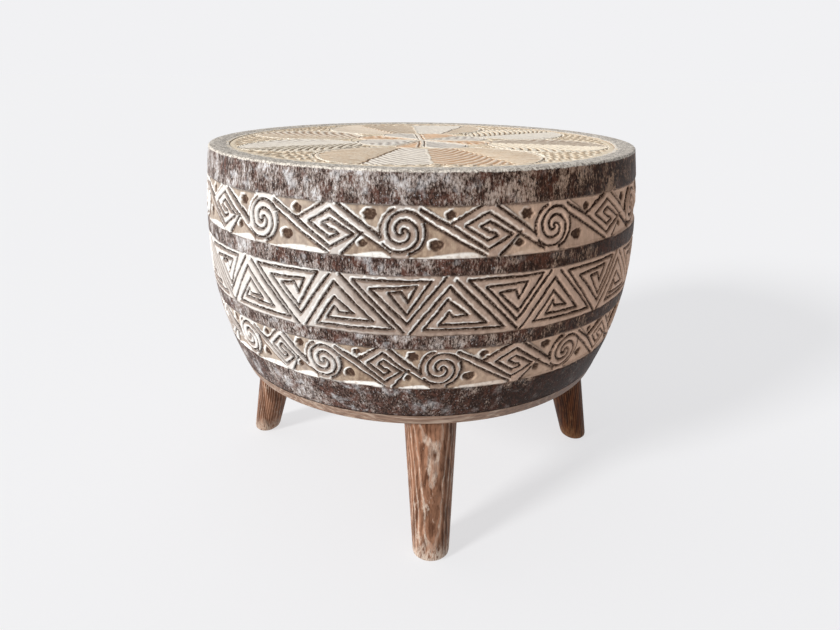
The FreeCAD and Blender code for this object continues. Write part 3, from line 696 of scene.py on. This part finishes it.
def rosette(x, y):
    """Depth, cream lines, fine barbs and ground colour of the top, for grids of millimetres."""
    reach = np.hypot(x, y)
    azimuth = np.degrees(np.arctan2(x, -y)) % 360
    u = x + GIRTH / 2
    radius = reach + 1.6 * wander(u, y, 40.0, 21) + 0.5 * wander(u, y, 11.0, 22)
    sway = 1.5 * wander(u, y, 17.0, 25) + 0.6 * wander(u, y, 6.0, 26)
    azimuth = (azimuth + np.degrees(sway / np.maximum(reach, 12.0))) % 360
    depth, lime, barb = np.zeros((3,) + x.shape)
    paint = np.tile(CREAM, x.shape + (1,))
    turns = np.radians(azimuth)
    waves = radius * FULL / GROUND_PITCH + 2.4 * np.sin(turns * GROUND_TEETH) + 3 * wander(u, y, 30.0, 23)
    waves = np.clip(1.5 * np.sin(waves) + 0.5 * wander(u, y, 5.0, 28), -1.0, 1.0)
    gap = np.ones(x.shape)

    def cut(chosen, *numbers):
        """Sets depth, lime and barbs in the chosen places."""
        for values, new in zip((depth, lime, barb), numbers):
            values[chosen] = new[chosen]

    for number, midrib in enumerate(LEAF_MIDRIBS):
        off = (azimuth - midrib + 180) % 360 - 180
        low = (midrib - LEAF_EDGES[number - 1] + 180) % 360 - 180
        high = (LEAF_EDGES[number] - midrib + 180) % 360 - 180
        share = np.clip((radius - LEAF_START) / (LEAF_END - LEAF_START), 0.0, 1.0)
        swell = np.sin(math.pi * share ** 0.8) ** 0.62
        across = np.abs(np.radians(off)) * radius
        for half, (span, inside) in enumerate(((low, off <= 0), (high, off > 0))):
            straight = (number - 1 + half) % len(LEAF_EDGES) in STRAIGHT_EDGES
            width = np.radians(span) * radius * (smooth(0.0, 0.05, share) * smooth(0.0, 0.12, 1 - share)
                                                 if straight else swell * 0.97)
            rim = np.where((share > 0) & (share < 1), width - across, -5.0)
            mine = inside & (np.abs(off) < span + 6) & (rim > -6.0)
            leaf = mine & (rim > 0)
            colour = LEAF_COLOURS[number][half]
            forward = radius - 1.15 * across + 0.006 * across ** 2 + 0.8 * wander(u, y, 9.0, 27)
            if colour == CREAM:
                groove = smooth(-0.1, 0.75, np.sin(forward * FULL / BARB_PITCH))
                cut(leaf, 1.1 * groove, 0.85 * (1 - groove), groove)
            else:
                groove = 0.5 + 0.5 * np.sin(forward * FULL / FINE_PITCH)
                cut(leaf, 0.7 * groove, (1 - groove) ** 1.2, 0.6 * groove ** 2)
            paint[leaf] = colour
            gap[leaf] = 0.0
            line, trench = stroke(rim, EDGE_HALF), np.zeros(x.shape)
            if not straight:
                line = np.maximum(stroke(rim - 1.4, OUTLINE_HALF), stroke(rim + 5.4, OUTLINE_HALF))
                trench = stroke(rim + 2.0, TRENCH_HALF)
            cut(mine, np.maximum(depth * (1 - trench), 1.2 * trench) * (1 - line), np.maximum(lime, line),
                np.maximum(barb, trench))
        rib = stroke(np.radians(off) * radius, MIDRIB_HALF)
        rib *= smooth(0.0, 0.03, share) * smooth(0.0, 0.03, 1 - share) * (np.abs(off) < 30)
        cut(..., np.maximum(depth, 1.2 * rib), lime * (1 - rib), np.maximum(barb, rib))
    outer = gap * smooth(FLOWER, FLOWER + 6, reach)
    depth += outer * (0.5 + 0.5 * waves)
    cut(outer > 0.5, depth, np.maximum(lime, 0.5 + 0.5 * waves), np.maximum(barb, 0.35 - 0.35 * waves))
    for number, start in enumerate(FLOWER_EDGES):
        span = (FLOWER_EDGES[(number + 1) % len(FLOWER_EDGES)] - start) % 360
        off = (azimuth - start) % 360
        middle = np.abs(off - span / 2)
        tip = FLOWER * (1.0 - 0.22 * (2 * middle / span) ** 2.4)
        mine = (reach < FLOWER) & (off < span)
        edge = np.minimum(np.radians(span / 2 - middle) * radius, tip - radius)
        leaf = mine & (edge > 0)
        paint[leaf] = ORANGE if number % 2 else WHITE
        groove = 0.5 + 0.5 * np.sin((radius - 0.7 * np.radians(middle) * radius) * FULL / FINE_PITCH)
        cut(mine, np.where(leaf, 0.5 * groove, 0.5), 0.8 * (1 - groove) ** 2)
        cut(leaf, depth, lime, 0.5 * groove ** 2)
        line = np.maximum(stroke(edge - 1.0, FLOWER_LINE_HALF), stroke(edge - 5.0, FLOWER_LINE_HALF))
        trench = stroke(edge - 3.0, FLOWER_TRENCH_HALF)
        cut(mine, np.maximum(depth * (1 - line), 1.1 * trench), np.maximum(lime, line) * (1 - trench),
            np.maximum(barb, trench))
    border = smooth(LEAF_END - 1.0, LEAF_END + 1.0, reach)
    depth = depth * (1 - border) + 0.2 * border
    lime = lime * (1 - border) + 0.3 * border
    barb *= 1 - border
    depth += 0.1 * (wander(u, y, 12.0, 24) + 1.0)
    return {"depth": depth, "lime": lime, "groove": barb, "paint": paint}


def build_top():
    """Four closed quarters of the carved skin, on a plain board."""
    count = TOP_CELLS
    share = np.linspace(0.0, 1.0, count + 1)
    across, along = np.meshgrid(share, share)
    bigger = np.maximum(across, along)
    ratio = np.minimum(across, along) / np.maximum(bigger, 1e-9)
    angle = np.where(across >= along, ratio, 2.0 - ratio) * math.pi / 4
    steps = np.arange(count)
    row, column = np.meshgrid(steps, steps, indexing="ij")
    wide = count + 1
    top_quads = cells(row, row + 1, column, wide)
    ring = np.concatenate([steps, count + steps * wide, count * wide + count - steps, (count - steps) * wide])
    total = wide * wide
    below = total + np.arange(len(ring))
    following = np.roll(np.arange(len(ring)), -1)
    side_quads = together(ring[following], ring, below, below[following])
    bottom = below[::-1][None]
    pieces = []
    for number in range(4):
        turn = number * QUARTER
        x = TOP_RADIUS * bigger * np.cos(angle + turn)
        y = TOP_RADIUS * bigger * np.sin(angle + turn)
        cuts = rosette(x, y)
        arris = np.maximum(0.0, np.hypot(x, y) - TOP_RADIUS + TOP_ARRIS)
        level = TOP_FACE - cuts["depth"] - arris
        slope_x, slope_y = [(rosette(x + right, y + back)["depth"] - rosette(x - right, y - back)["depth"])
                            / (2 * SLOPE_STEP) for right, back in ((SLOPE_STEP, 0), (0, SLOPE_STEP))]
        upper = together(x, y, level)
        lower = upper[ring] * (1, 1, 0) + (0, 0, TOP_FACE - SKIN)
        facing = together(slope_x, slope_y, np.ones(x.shape))
        facing /= np.linalg.norm(facing, axis=-1, keepdims=True)
        normals = np.concatenate([facing, np.tile((0.0, 0.0, -1.0), (len(ring), 1))])
        flat = together(across, along) * MAP_HIGH + MAP_EDGE
        before = np.arange(len(ring)) / len(ring) * MAP_WIDE + MAP_EDGE
        after = before + MAP_WIDE / len(ring)
        low, high = (np.full_like(before, place) for place in SIDE_MAP_PLACES)
        side_map = together(after, low, before, low, before, high, after, high, width=2)
        bottom_map = flat[ring][::-1] * BOTTOM_MAP_SHARE + BOTTOM_MAP_PLACE
        values = {}
        for name in ("lime", "groove", "paint"):
            numbers = cuts[name].reshape((total,) + cuts[name].shape[2:])
            values[name] = np.concatenate([numbers, numbers[ring]])
        piece = make_mesh(f"carved_top_{number + 1}", np.vstack([upper, lower]),
                          [top_quads, side_quads, bottom], normals,
                          [flat[top_quads.ravel()], side_map, bottom_map], values)
        pieces.append(place(piece, "top_board", "limed_top"))
    ends = (LEDGE_LEVEL - OVERRUN, BATTEN_PEG_TOP)
    bores = [[(peg, side, level) for level in ends] + [PEG_HOLE]
             for side in (-BATTEN_PLACE, BATTEN_PLACE) for peg in BATTEN_PEG_PLACES]
    core = bored_disc("top_core", TOP_RADIUS, LEDGE_LEVEL, TOP_FACE - SKIN, bores, "top_board", "limed_top")
    return pieces, core


# Materials, all built from nodes

class Nodes:
    """A tree of shader nodes, with sizes in millimetres."""

    def __init__(self, tree, where):
        self.tree = tree
        self.where = self.add("ShaderNodeTexCoord").outputs[where]

    def add(self, kind, inputs=None, **settings):
        node = self.tree.nodes.new(kind)
        for key, value in settings.items():
            setattr(node, key, value)
        for key, value in (inputs or {}).items():
            self.feed(node.inputs[key], value)
        return node

    def feed(self, socket, value):
        if isinstance(value, bpy.types.NodeSocket):
            self.tree.links.new(value, socket)
        elif socket.type == "RGBA":
            socket.default_value = value + (1.0,)
        else:
            socket.default_value = value

    def attribute(self, name, output="Fac"):
        return self.add("ShaderNodeAttribute", attribute_name=name).outputs[output]

    def part(self, axis):
        return self.add("ShaderNodeSeparateXYZ", {0: self.where}).outputs[axis]

    def noise(self, size, stretch=1.0, detail=3.0, rough=0.5, bend=0.0, axis=2):
        """Noise of one size, drawn out along one axis."""
        scale = [1.0 / (size * MM)] * 3
        scale[axis] /= stretch
        mapping = self.add("ShaderNodeMapping", {"Vector": self.where, "Scale": scale})
        ends = {"Vector": mapping.outputs[0], "Scale": 1.0, "Detail": detail, "Roughness": rough,
                "Distortion": bend}
        return self.add("ShaderNodeTexNoise", ends).outputs["Fac"]

    def ramp(self, value, low, high, least=0.0, most=1.0, kind="SMOOTHSTEP"):
        ends = {"Value": value, "From Min": low, "From Max": high, "To Min": least, "To Max": most}
        return self.add("ShaderNodeMapRange", ends, interpolation_type=kind).outputs["Result"]

    def math(self, kind, first, second=0.0):
        return self.add("ShaderNodeMath", {0: first, 1: second}, operation=kind).outputs[0]

    def times(self, *values):
        return reduce(partial(self.math, "MULTIPLY"), values)

    def plus(self, *values):
        return reduce(partial(self.math, "ADD"), values)

    def mix(self, share, first, second, blend="MIX"):
        ends = {0: share, 6: first, 7: second}
        return self.add("ShaderNodeMix", ends, data_type="RGBA", blend_type=blend).outputs[2]

    def reach(self):
        """Distance from the table's upright axis."""
        squares = [self.math("POWER", self.part(axis), 2.0) for axis in (0, 1)]
        return self.math("SQRT", self.plus(*squares))


class Paint(Nodes):
    """One material."""

    def __init__(self, name):
        self.material = bpy.data.materials.new(name)
        self.material.use_nodes = True
        self.material.node_tree.nodes.clear()
        super().__init__(self.material.node_tree, "Object")
        self.shader = self.add("ShaderNodeBsdfPrincipled")
        self.add("ShaderNodeOutputMaterial", {"Surface": self.shader.outputs[0]})

    def finish(self, colour, rough, height=None, rise=0.1, shine=0.5):
        ends = {"Base Color": colour, "Roughness": rough, "Specular IOR Level": shine}
        if height is not None:
            ends["Normal"] = self.add("ShaderNodeBump", {"Distance": rise * MM, "Height": height}).outputs[0]
        for key, value in ends.items():
            self.feed(self.shader.inputs[key], value)
        return self.material


# Colours of the wall, linear: stain, worn film, and chalk that is partly a painted sheen on the lit left
STAIN_DARK = (0.022, 0.012, 0.009)
STAIN_BROWN = (0.095, 0.056, 0.044)
STAIN_RED = (0.14, 0.062, 0.045)
FILM = (0.32, 0.265, 0.235)
# The film's colour where the painted shade on the right side lies
FILM_IN_RIGHT_SHADE = (0.42, 0.31, 0.24)
CHALK_AND_SHEEN = (0.62, 0.61, 0.61)
# Ribs, fields, grooves and pits of the friezes
RIB_LOW = (0.2, 0.14, 0.108)
RIB_HIGH = (0.38, 0.29, 0.235)
RIB_CLEAN = (0.72, 0.545, 0.455)
RIB_SHADE = (0.2, 0.135, 0.1)
FIELD_LOW = (0.19, 0.125, 0.085)
FIELD_HIGH = (0.4, 0.3, 0.215)
GROOVE_DARK = (0.035, 0.018, 0.011)
PIT_DARK = (0.06, 0.033, 0.022)
LIME = (0.9, 0.88, 0.84)
# Tints of painted shade: darker and warmer on the drum's right side, where +X is, and darker at its lower
# right
RIGHT_SHADE_TINT = (0.6, 0.47, 0.37)
LOWER_RIGHT_SHADE = (0.6, 0.5, 0.42)
RIGHT_SHADE_WARMTH = (1.0, 0.88, 0.77)
# How far the top's cream reaches out over the rim
RIM_BITE = 18.0
RIM_LOW = (0.22, 0.19, 0.165)
RIM_HIGH = (0.78, 0.72, 0.63)
BARE_LOW = (0.3, 0.2, 0.13)
BARE_HIGH = (0.5, 0.37, 0.25)


def stain_colour(mat, grain, fibre, side, right_shade):
    """Dark stain under a worn film, patches of chalk and fine specks; also says where the film is. The chalk
    is heaviest on the lit left, where it is partly a painted sheen, and the stain takes painted shade at the
    right and the lower right.
    """
    level = mat.part(2)
    stain = mat.mix(mat.ramp(grain, 0.42, 0.6), STAIN_DARK, STAIN_BROWN)
    reddish = mat.plus(mat.noise(7.0, 1.6, 4.0, 0.6), mat.times(fibre, 0.5))
    stain = mat.mix(mat.ramp(reddish, 0.74, 0.86, 0.0, 0.55), stain, STAIN_RED)
    # Painted shade: the stain darkens towards the right side, +X
    stain = mat.mix(right_shade, stain, RIGHT_SHADE_TINT, "MULTIPLY")
    # Painted shade: the lower right of the wall is darkened
    under = mat.times(mat.ramp(mat.part(0), -0.1, 0.12), mat.ramp(level, 0.27, 0.19))
    stain = mat.mix(under, stain, LOWER_RIGHT_SHADE, "MULTIPLY")
    # Less film lower down, so the wall is darker towards the bottom
    film_thins_downward = mat.plus(mat.ramp(level, 0.34, 0.375, -0.07, -0.02), mat.ramp(level, 0.18, 0.23, -0.08, 0.0))
    veil = mat.plus(mat.times(fibre, 0.45), mat.times(mat.noise(20.0, 1.25, 5.0, 0.7, 0.25), 0.8),
                    mat.times(grain, 0.6), mat.times(film_thins_downward, mat.ramp(side, 0.95, 0.45, 0.3, 1.0)),
                    mat.times(right_shade, -0.05))
    film = mat.times(mat.ramp(veil, 0.84, 1.0), mat.ramp(side, 0.0, 0.7, 0.85, 0.95))
    plain = mat.mix(film, stain, mat.mix(right_shade, FILM, FILM_IN_RIGHT_SHADE))
    # Chalk on the lit left that is partly real and partly a painted highlight
    chalk_and_sheen = mat.times(mat.ramp(veil, 0.95, 1.12), mat.ramp(side, 0.05, 1.0, 0.1, 1.0))
    plain = mat.mix(chalk_and_sheen, plain, CHALK_AND_SHEEN)
    blob = mat.times(mat.ramp(mat.noise(14.0, 1.0, 3.0, 0.55, 0.2), 0.53, 0.72),
                     mat.ramp(side, 0.1, 0.9, 0.1, 0.7), mat.ramp(grain, 0.35, 0.6, 0.5, 1.0))
    plain = mat.mix(blob, plain, CHALK_AND_SHEEN)
    speck = mat.noise(1.5, 1.7, 3.0, 0.65)
    grains = mat.times(mat.ramp(speck, 0.6, 0.72), mat.ramp(side, 0.0, 1.0, 0.25, 0.85))
    plain = mat.mix(grains, plain, CHALK_AND_SHEEN)
    return mat.mix(mat.ramp(speck, 0.45, 0.33, 0.0, 0.75), plain, STAIN_DARK), film


def carve_colours(mat, plain, grain, fibre, side, right_shade):
    """Ribs, fields, grooves, pits and lime over the plain stain, where the mesh has them, with painted shade
    beside each groove on the side away from the light and lime that is partly a painted highlight on the lit
    left.
    """
    clean = mat.times(right_shade, mat.ramp(fibre, 0.3, 0.6, 0.9, 0.6))
    # Painted shade beside the grooves, stronger on the lit left
    tan = mat.times(mat.attribute("tan"), mat.ramp(side, 0.1, 0.7, 0.3, 0.9))
    rib = mat.mix(mat.ramp(mat.noise(5.0, 1.5, 5.0, 0.7), 0.3, 0.7), RIB_LOW, RIB_HIGH)
    rib = mat.mix(mat.ramp(grain, 0.56, 0.75, 0.0, 0.4), rib, STAIN_BROWN)
    rib = mat.mix(mat.ramp(side, 0.52, 0.95, 0.0, 0.55), rib, LIME)
    field = mat.mix(mat.ramp(mat.noise(6.0, 1.5, 4.0, 0.6), 0.3, 0.7), FIELD_LOW, FIELD_HIGH)
    field = mat.mix(mat.ramp(side, 0.6, 1.0, 0.0, 0.15), field, LIME)
    colour = plain
    for name, layer in (("frieze", rib), ("field", field)):
        layer = mat.mix(tan, mat.mix(clean, layer, RIB_CLEAN), RIB_SHADE)
        colour = mat.mix(mat.attribute(name), colour, layer)
    broken = mat.ramp(mat.noise(2.0), 0.34, 0.5, 0.5, 1.0)
    colour = mat.mix(mat.times(mat.attribute("groove"), broken), colour, GROOVE_DARK)
    pit = mat.mix(mat.ramp(mat.noise(2.4, 1.0, 4.0), 0.45, 0.75), PIT_DARK, FIELD_LOW)
    colour = mat.mix(mat.attribute("pit"), colour, pit)
    limed = mat.times(mat.ramp(mat.noise(5.0), 0.3, 0.5, 0.45, 1.0), mat.ramp(side, 0.12, 0.5, 0.03, 1.0))
    return mat.mix(mat.times(mat.attribute("lime"), limed), colour, LIME)


def rim_colour(mat):
    """Grey crumbs on the rim's top, with bites of the top's cream over its inner edge."""
    crumbs = mat.noise(2.6, 1.0, 5.0, 0.8)
    rim = mat.mix(mat.ramp(crumbs, 0.38, 0.6), RIM_LOW, RIM_HIGH)
    jagged = mat.plus(mat.reach(), mat.times(mat.noise(9.0, 1.0, 4.0, 0.7), RIM_BITE * MM))
    bitten = POCKET_RADIUS + 0.7 * RIM_BITE
    cream = mat.mix(mat.ramp(crumbs, 0.42, 0.58), CREAM, LIME)
    return mat.mix(mat.ramp(jagged, bitten * MM, (bitten - 1.5) * MM), rim, cream)


def wall_material():
    """The drum's side at -X has more lime, film and chalk on it, partly real and partly a painted highlight
    on its lit side; its right side is darkened and warmed as painted shade, with ribs clean of lime.
    """
    mat = Paint("stained_wall_paint")
    grain = mat.noise(1.5, 2.5, 4.0, 0.72)
    fibre = mat.noise(2.6, 3.6, 5.0, 0.74)
    broad = mat.times(mat.noise(95.0, 1.0, 2.0), 0.12)
    # side is 1 on the lit left (-X): the lime, film and chalk it raises there are partly real and partly a
    # painted highlight
    side = mat.ramp(mat.plus(mat.times(mat.part(0), -1.0), broad), -0.16, 0.26)
    # Painted shade mask: 0 at the left, 1 on the drum's right side towards +X
    right_shade = mat.ramp(mat.part(0), -0.03, 0.2)
    plain, film = stain_colour(mat, grain, fibre, side, right_shade)
    colour = carve_colours(mat, plain, grain, fibre, side, right_shade)
    # Painted shade: everything on the right side is made darker and warmer
    colour = mat.mix(right_shade, colour, RIGHT_SHADE_WARMTH, "MULTIPLY")
    edge = mat.plus(mat.part(2), mat.times(mat.noise(2.6, 2.0, 3.0, 0.7), 4.0 * MM))
    on_rim = mat.ramp(edge, (RIM_TOP - 0.6) * MM, (RIM_TOP + 0.4) * MM)
    colour = mat.mix(on_rim, colour, rim_colour(mat))
    timber = mat.mix(mat.ramp(fibre, 0.35, 0.65), BARE_LOW, BARE_HIGH)
    colour = mat.mix(mat.attribute("bare"), colour, timber)
    rough = mat.ramp(film, 0.0, 0.9, 0.48, 0.7)
    return mat.finish(colour, rough, mat.plus(mat.times(fibre, 0.6), grain), 0.2, 0.07)


TOP_PALE = (0.78, 0.69, 0.56)
TOP_SPECK = (0.3, 0.19, 0.11)
TOP_GROOVE = (0.25, 0.14, 0.07)
TOP_LIME = (0.93, 0.86, 0.73)


def top_material():
    mat = Paint("limed_top_paint")
    grain = mat.noise(2.2, 12.0, 4.0, 0.6, 0.3, 0)
    speck = mat.noise(3.0, 1.0, 4.0, 0.7)
    ground = mat.attribute("paint", "Color")
    colour = mat.mix(mat.ramp(grain, 0.35, 0.65, 0.0, 0.45), ground, TOP_PALE)
    colour = mat.mix(mat.ramp(speck, 0.5, 0.75, 0.0, 0.3), colour, TOP_SPECK)
    groove = mat.times(mat.attribute("groove"), mat.ramp(speck, 0.3, 0.6, 0.5, 0.95))
    colour = mat.mix(groove, colour, TOP_GROOVE)
    lime = mat.times(mat.attribute("lime"), mat.ramp(speck, 0.35, 0.6, 1.0, 0.6))
    colour = mat.mix(lime, colour, TOP_LIME)
    return mat.finish(colour, 0.6, mat.plus(grain, speck), 0.12, 0.2)


# Plain timber: dark, light and lime colours, axis of the grain, size of its growth lines,
# share of the lime, and how bright the wood stays at the right
WOODS = {
    "base_board_wood": ((0.15, 0.083, 0.052), (0.31, 0.195, 0.135), (0.56, 0.46, 0.37), 0, 30.0, 0.4, 0.2),
    "hard_wedge_wood": ((0.14, 0.07, 0.035), (0.26, 0.15, 0.08), (0.4, 0.3, 0.2), 2, 12.0, 0.2, 1.0),
    "plain_batten_wood": ((0.32, 0.21, 0.13), (0.5, 0.37, 0.25), (0.6, 0.5, 0.38), 0, 22.0, 0.4, 1.0),
    "plain_peg_wood": ((0.34, 0.23, 0.14), (0.52, 0.4, 0.27), (0.62, 0.52, 0.4), 2, 6.0, 0.3, 1.0),
}
WOOD_STRETCH = 9.0


def wood_material(name):
    """Plain timber: streaks along the grain, with pale lime left in its growth lines."""
    dark, light, lime, axis, contour, share, bright = WOODS[name]
    mat = Paint(name)
    streak = mat.noise(2.4, WOOD_STRETCH, 4.0, 0.6, 0.2, axis)
    body = mat.noise(contour, 1.0 + (WOOD_STRETCH - 1.0) * 0.6, 2.0, 0.45, 0.0, axis)
    lines = mat.math("SINE", mat.times(body, 75.0))
    colour = mat.mix(mat.ramp(streak, 0.3, 0.7), dark, light)
    pale = mat.times(mat.ramp(lines, 0.2, 0.95), mat.ramp(streak, 0.35, 0.62, 0.25, 1.0), share)
    colour = mat.mix(pale, colour, lime)
    fine = mat.noise(0.9, WOOD_STRETCH, 3.0, 0.6, 0.0, axis)
    colour = mat.mix(mat.ramp(fine, 0.55, 0.8, 0.0, 0.5), colour, tuple(0.45 * value for value in dark))
    shade = mat.ramp(mat.part(0), 0.05, 0.2, 0.0, 1.0 - bright)
    colour = mat.mix(shade, colour, LEG_SHADE, "MULTIPLY")
    return mat.finish(colour, mat.ramp(streak, 0.3, 0.7, 0.45, 0.65), mat.plus(streak, fine), 0.15, 0.4)


LEG_DARK = (0.085, 0.034, 0.017)
LEG_LIGHT = (0.31, 0.155, 0.092)
LEG_LIME = (0.66, 0.54, 0.44)
LEG_SHADE = (0.34, 0.205, 0.11)
RING_SLOPE = 0.21
RING_PITCH = 3.2


def leg_material():
    """Growth rings nearly along the leg: arches on its outer face, close lines at its sides."""
    mat = Paint("limed_leg_wood")
    bend = mat.times(mat.noise(26.0, 1.8, 3.0, 0.55), 5.5 * MM)
    ring = mat.plus(mat.reach(), mat.times(mat.part(2), RING_SLOPE), bend)
    lines = mat.math("SINE", mat.times(ring, FULL / (RING_PITCH * MM)))
    streak = mat.noise(4.6, 20.0, 4.0, 0.6)
    fine = mat.noise(1.6, 7.0, 3.0, 0.6)
    worn = mat.noise(9.0, 2.2, 4.0, 0.7)
    colour = mat.mix(mat.ramp(streak, 0.34, 0.6), LEG_DARK, LEG_LIGHT)
    colour = mat.mix(mat.ramp(lines, 0.1, -0.9, 0.0, 0.45), colour, LEG_DARK)
    pale = mat.times(mat.ramp(lines, 0.45, 0.98), mat.ramp(worn, 0.42, 0.66, 0.3, 1.0),
                     mat.ramp(fine, 0.35, 0.55, 0.4, 1.0))
    foot = mat.ramp(mat.plus(mat.part(2), mat.times(worn, -0.03)), 0.012, -0.012)
    pale = mat.math("MAXIMUM", pale, mat.times(foot, mat.ramp(fine, 0.35, 0.55)))
    patches = mat.times(mat.ramp(worn, 0.56, 0.7, 0.0, 0.8), mat.ramp(fine, 0.4, 0.55))
    pale = mat.math("MAXIMUM", pale, patches)
    colour = mat.mix(mat.times(pale, 0.8), colour, LEG_LIME)
    colour = mat.mix(mat.ramp(fine, 0.5, 0.75, 0.0, 0.6), colour, tuple(0.5 * value for value in LEG_DARK))
    shade = mat.ramp(mat.plus(mat.part(1), mat.times(mat.part(0), 0.4)), -0.14, 0.06)
    colour = mat.mix(shade, colour, LEG_SHADE, "MULTIPLY")
    return mat.finish(colour, mat.ramp(streak, 0.3, 0.7, 0.38, 0.6), mat.plus(streak, fine), 0.15, 0.1)


def dress(material, pieces):
    """Puts a material on pieces, or on carried-over CAD nodes given by name."""
    for piece in pieces:
        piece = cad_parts[piece] if isinstance(piece, str) else piece
        if not piece.material_slots:
            piece.data.materials.append(material)
        for slot in piece.material_slots:
            slot.material = material


def paint_all(staves, floor, leaves, core):
    ways = ("front", "right", "back", "left")
    dress(wall_material(), staves + [floor])
    dress(top_material(), leaves + [core])
    dress(leg_material(), ["leg_" + way for way in ways])
    dress(wood_material("base_board_wood"), ["base_board"])
    dress(wood_material("hard_wedge_wood"), ["wedge_" + way for way in ways])
    dress(wood_material("plain_batten_wood"), ["batten_front", "batten_back"])
    dress(wood_material("plain_peg_wood"), ["base_pegs", "batten_pegs"])


# The studio: floor, light and camera

PAPER = (0.88, 0.88, 0.896)
PAPER_SHARE = 0.27
PAPER_GLOW = 0.7305
FLOOR_REACH = 30.0
# Where the light round the table changes: axis, where that starts and ends, and its strength there.
# The paper is even ahead, the left is a bright wall of light, and the other sides are dimmer.
SIDES = [(0, -0.55, -0.75, 2.2), (0, 0.55, 0.75, 0.35), (1, 0.3, -0.2, 0.45), (2, 0.25, 0.5, 0.6)]
KEY_TOWARDS = (-1.0, -0.74, 0.54)
KEY_STRENGTH = 3.5
KEY_SPREAD = 12.0


def build_studio():
    mesh = bpy.data.meshes.new("studio_floor")
    corners = [(-1, -1, 0), (1, -1, 0), (1, 1, 0), (-1, 1, 0)]
    mesh.from_pydata([Vector(corner) * FLOOR_REACH for corner in corners], [], [(0, 1, 2, 3)])
    floor = show("studio_floor", mesh)
    sheet = Paint("studio_paper")
    sheet.feed(sheet.shader.inputs["Emission Color"], PAPER)
    sheet.feed(sheet.shader.inputs["Emission Strength"], PAPER_GLOW)
    mesh.materials.append(sheet.finish((PAPER_SHARE,) * 3, 0.9, None, 0.1, 0.0))
    world = bpy.data.worlds.new("studio")
    bpy.context.scene.world = world
    world.use_nodes = True
    sky = Nodes(world.node_tree, "Generated")
    backdrop = world.node_tree.nodes["Background"]
    sky.feed(backdrop.inputs["Color"], PAPER)
    strengths = [sky.ramp(sky.part(axis), start, end, 1.0, strength, "LINEAR")
                 for axis, start, end, strength in SIDES]
    sky.feed(backdrop.inputs["Strength"], sky.times(*strengths))
    lamp = bpy.data.lights.new("key", "SUN")
    lamp.energy = KEY_STRENGTH
    lamp.angle = math.radians(KEY_SPREAD)
    show("key", lamp).rotation_euler = Vector(KEY_TOWARDS).to_track_quat("Z", "Y").to_euler()
    bpy.context.scene.view_settings.view_transform = "Standard"


# Camera, fitted to the rim, the belly and the feet in the photograph

FOCUS = 641.68
PICTURE_WIDTH = 840.0
SENSOR = 36.0
CAMERA_BACK = 780.0
CAMERA_RISE = 80.05
CAMERA_PITCH = 0.36996
CAMERA_ROLL = 0.01093


def build_camera():
    data = bpy.data.cameras.new("camera")
    data.sensor_width = SENSOR
    data.lens = FOCUS / PICTURE_WIDTH * SENSOR
    data.clip_start = 0.01
    data.clip_end = 200.0
    camera = show("camera", data)
    place_at = Matrix.Translation(Vector((0.0, -CAMERA_BACK, RIM_TOP + CAMERA_RISE)) * MM)
    turn = Matrix.Rotation(QUARTER - CAMERA_PITCH, 4, "X") @ Matrix.Rotation(CAMERA_ROLL, 4, "Z")
    camera.matrix_world = place_at @ turn
    bpy.context.scene.camera = camera


staves = build_wall()
drum_floor = build_floor()
leaves, core = build_top()
paint_all(staves, drum_floor, leaves, core)
build_studio()
build_camera()
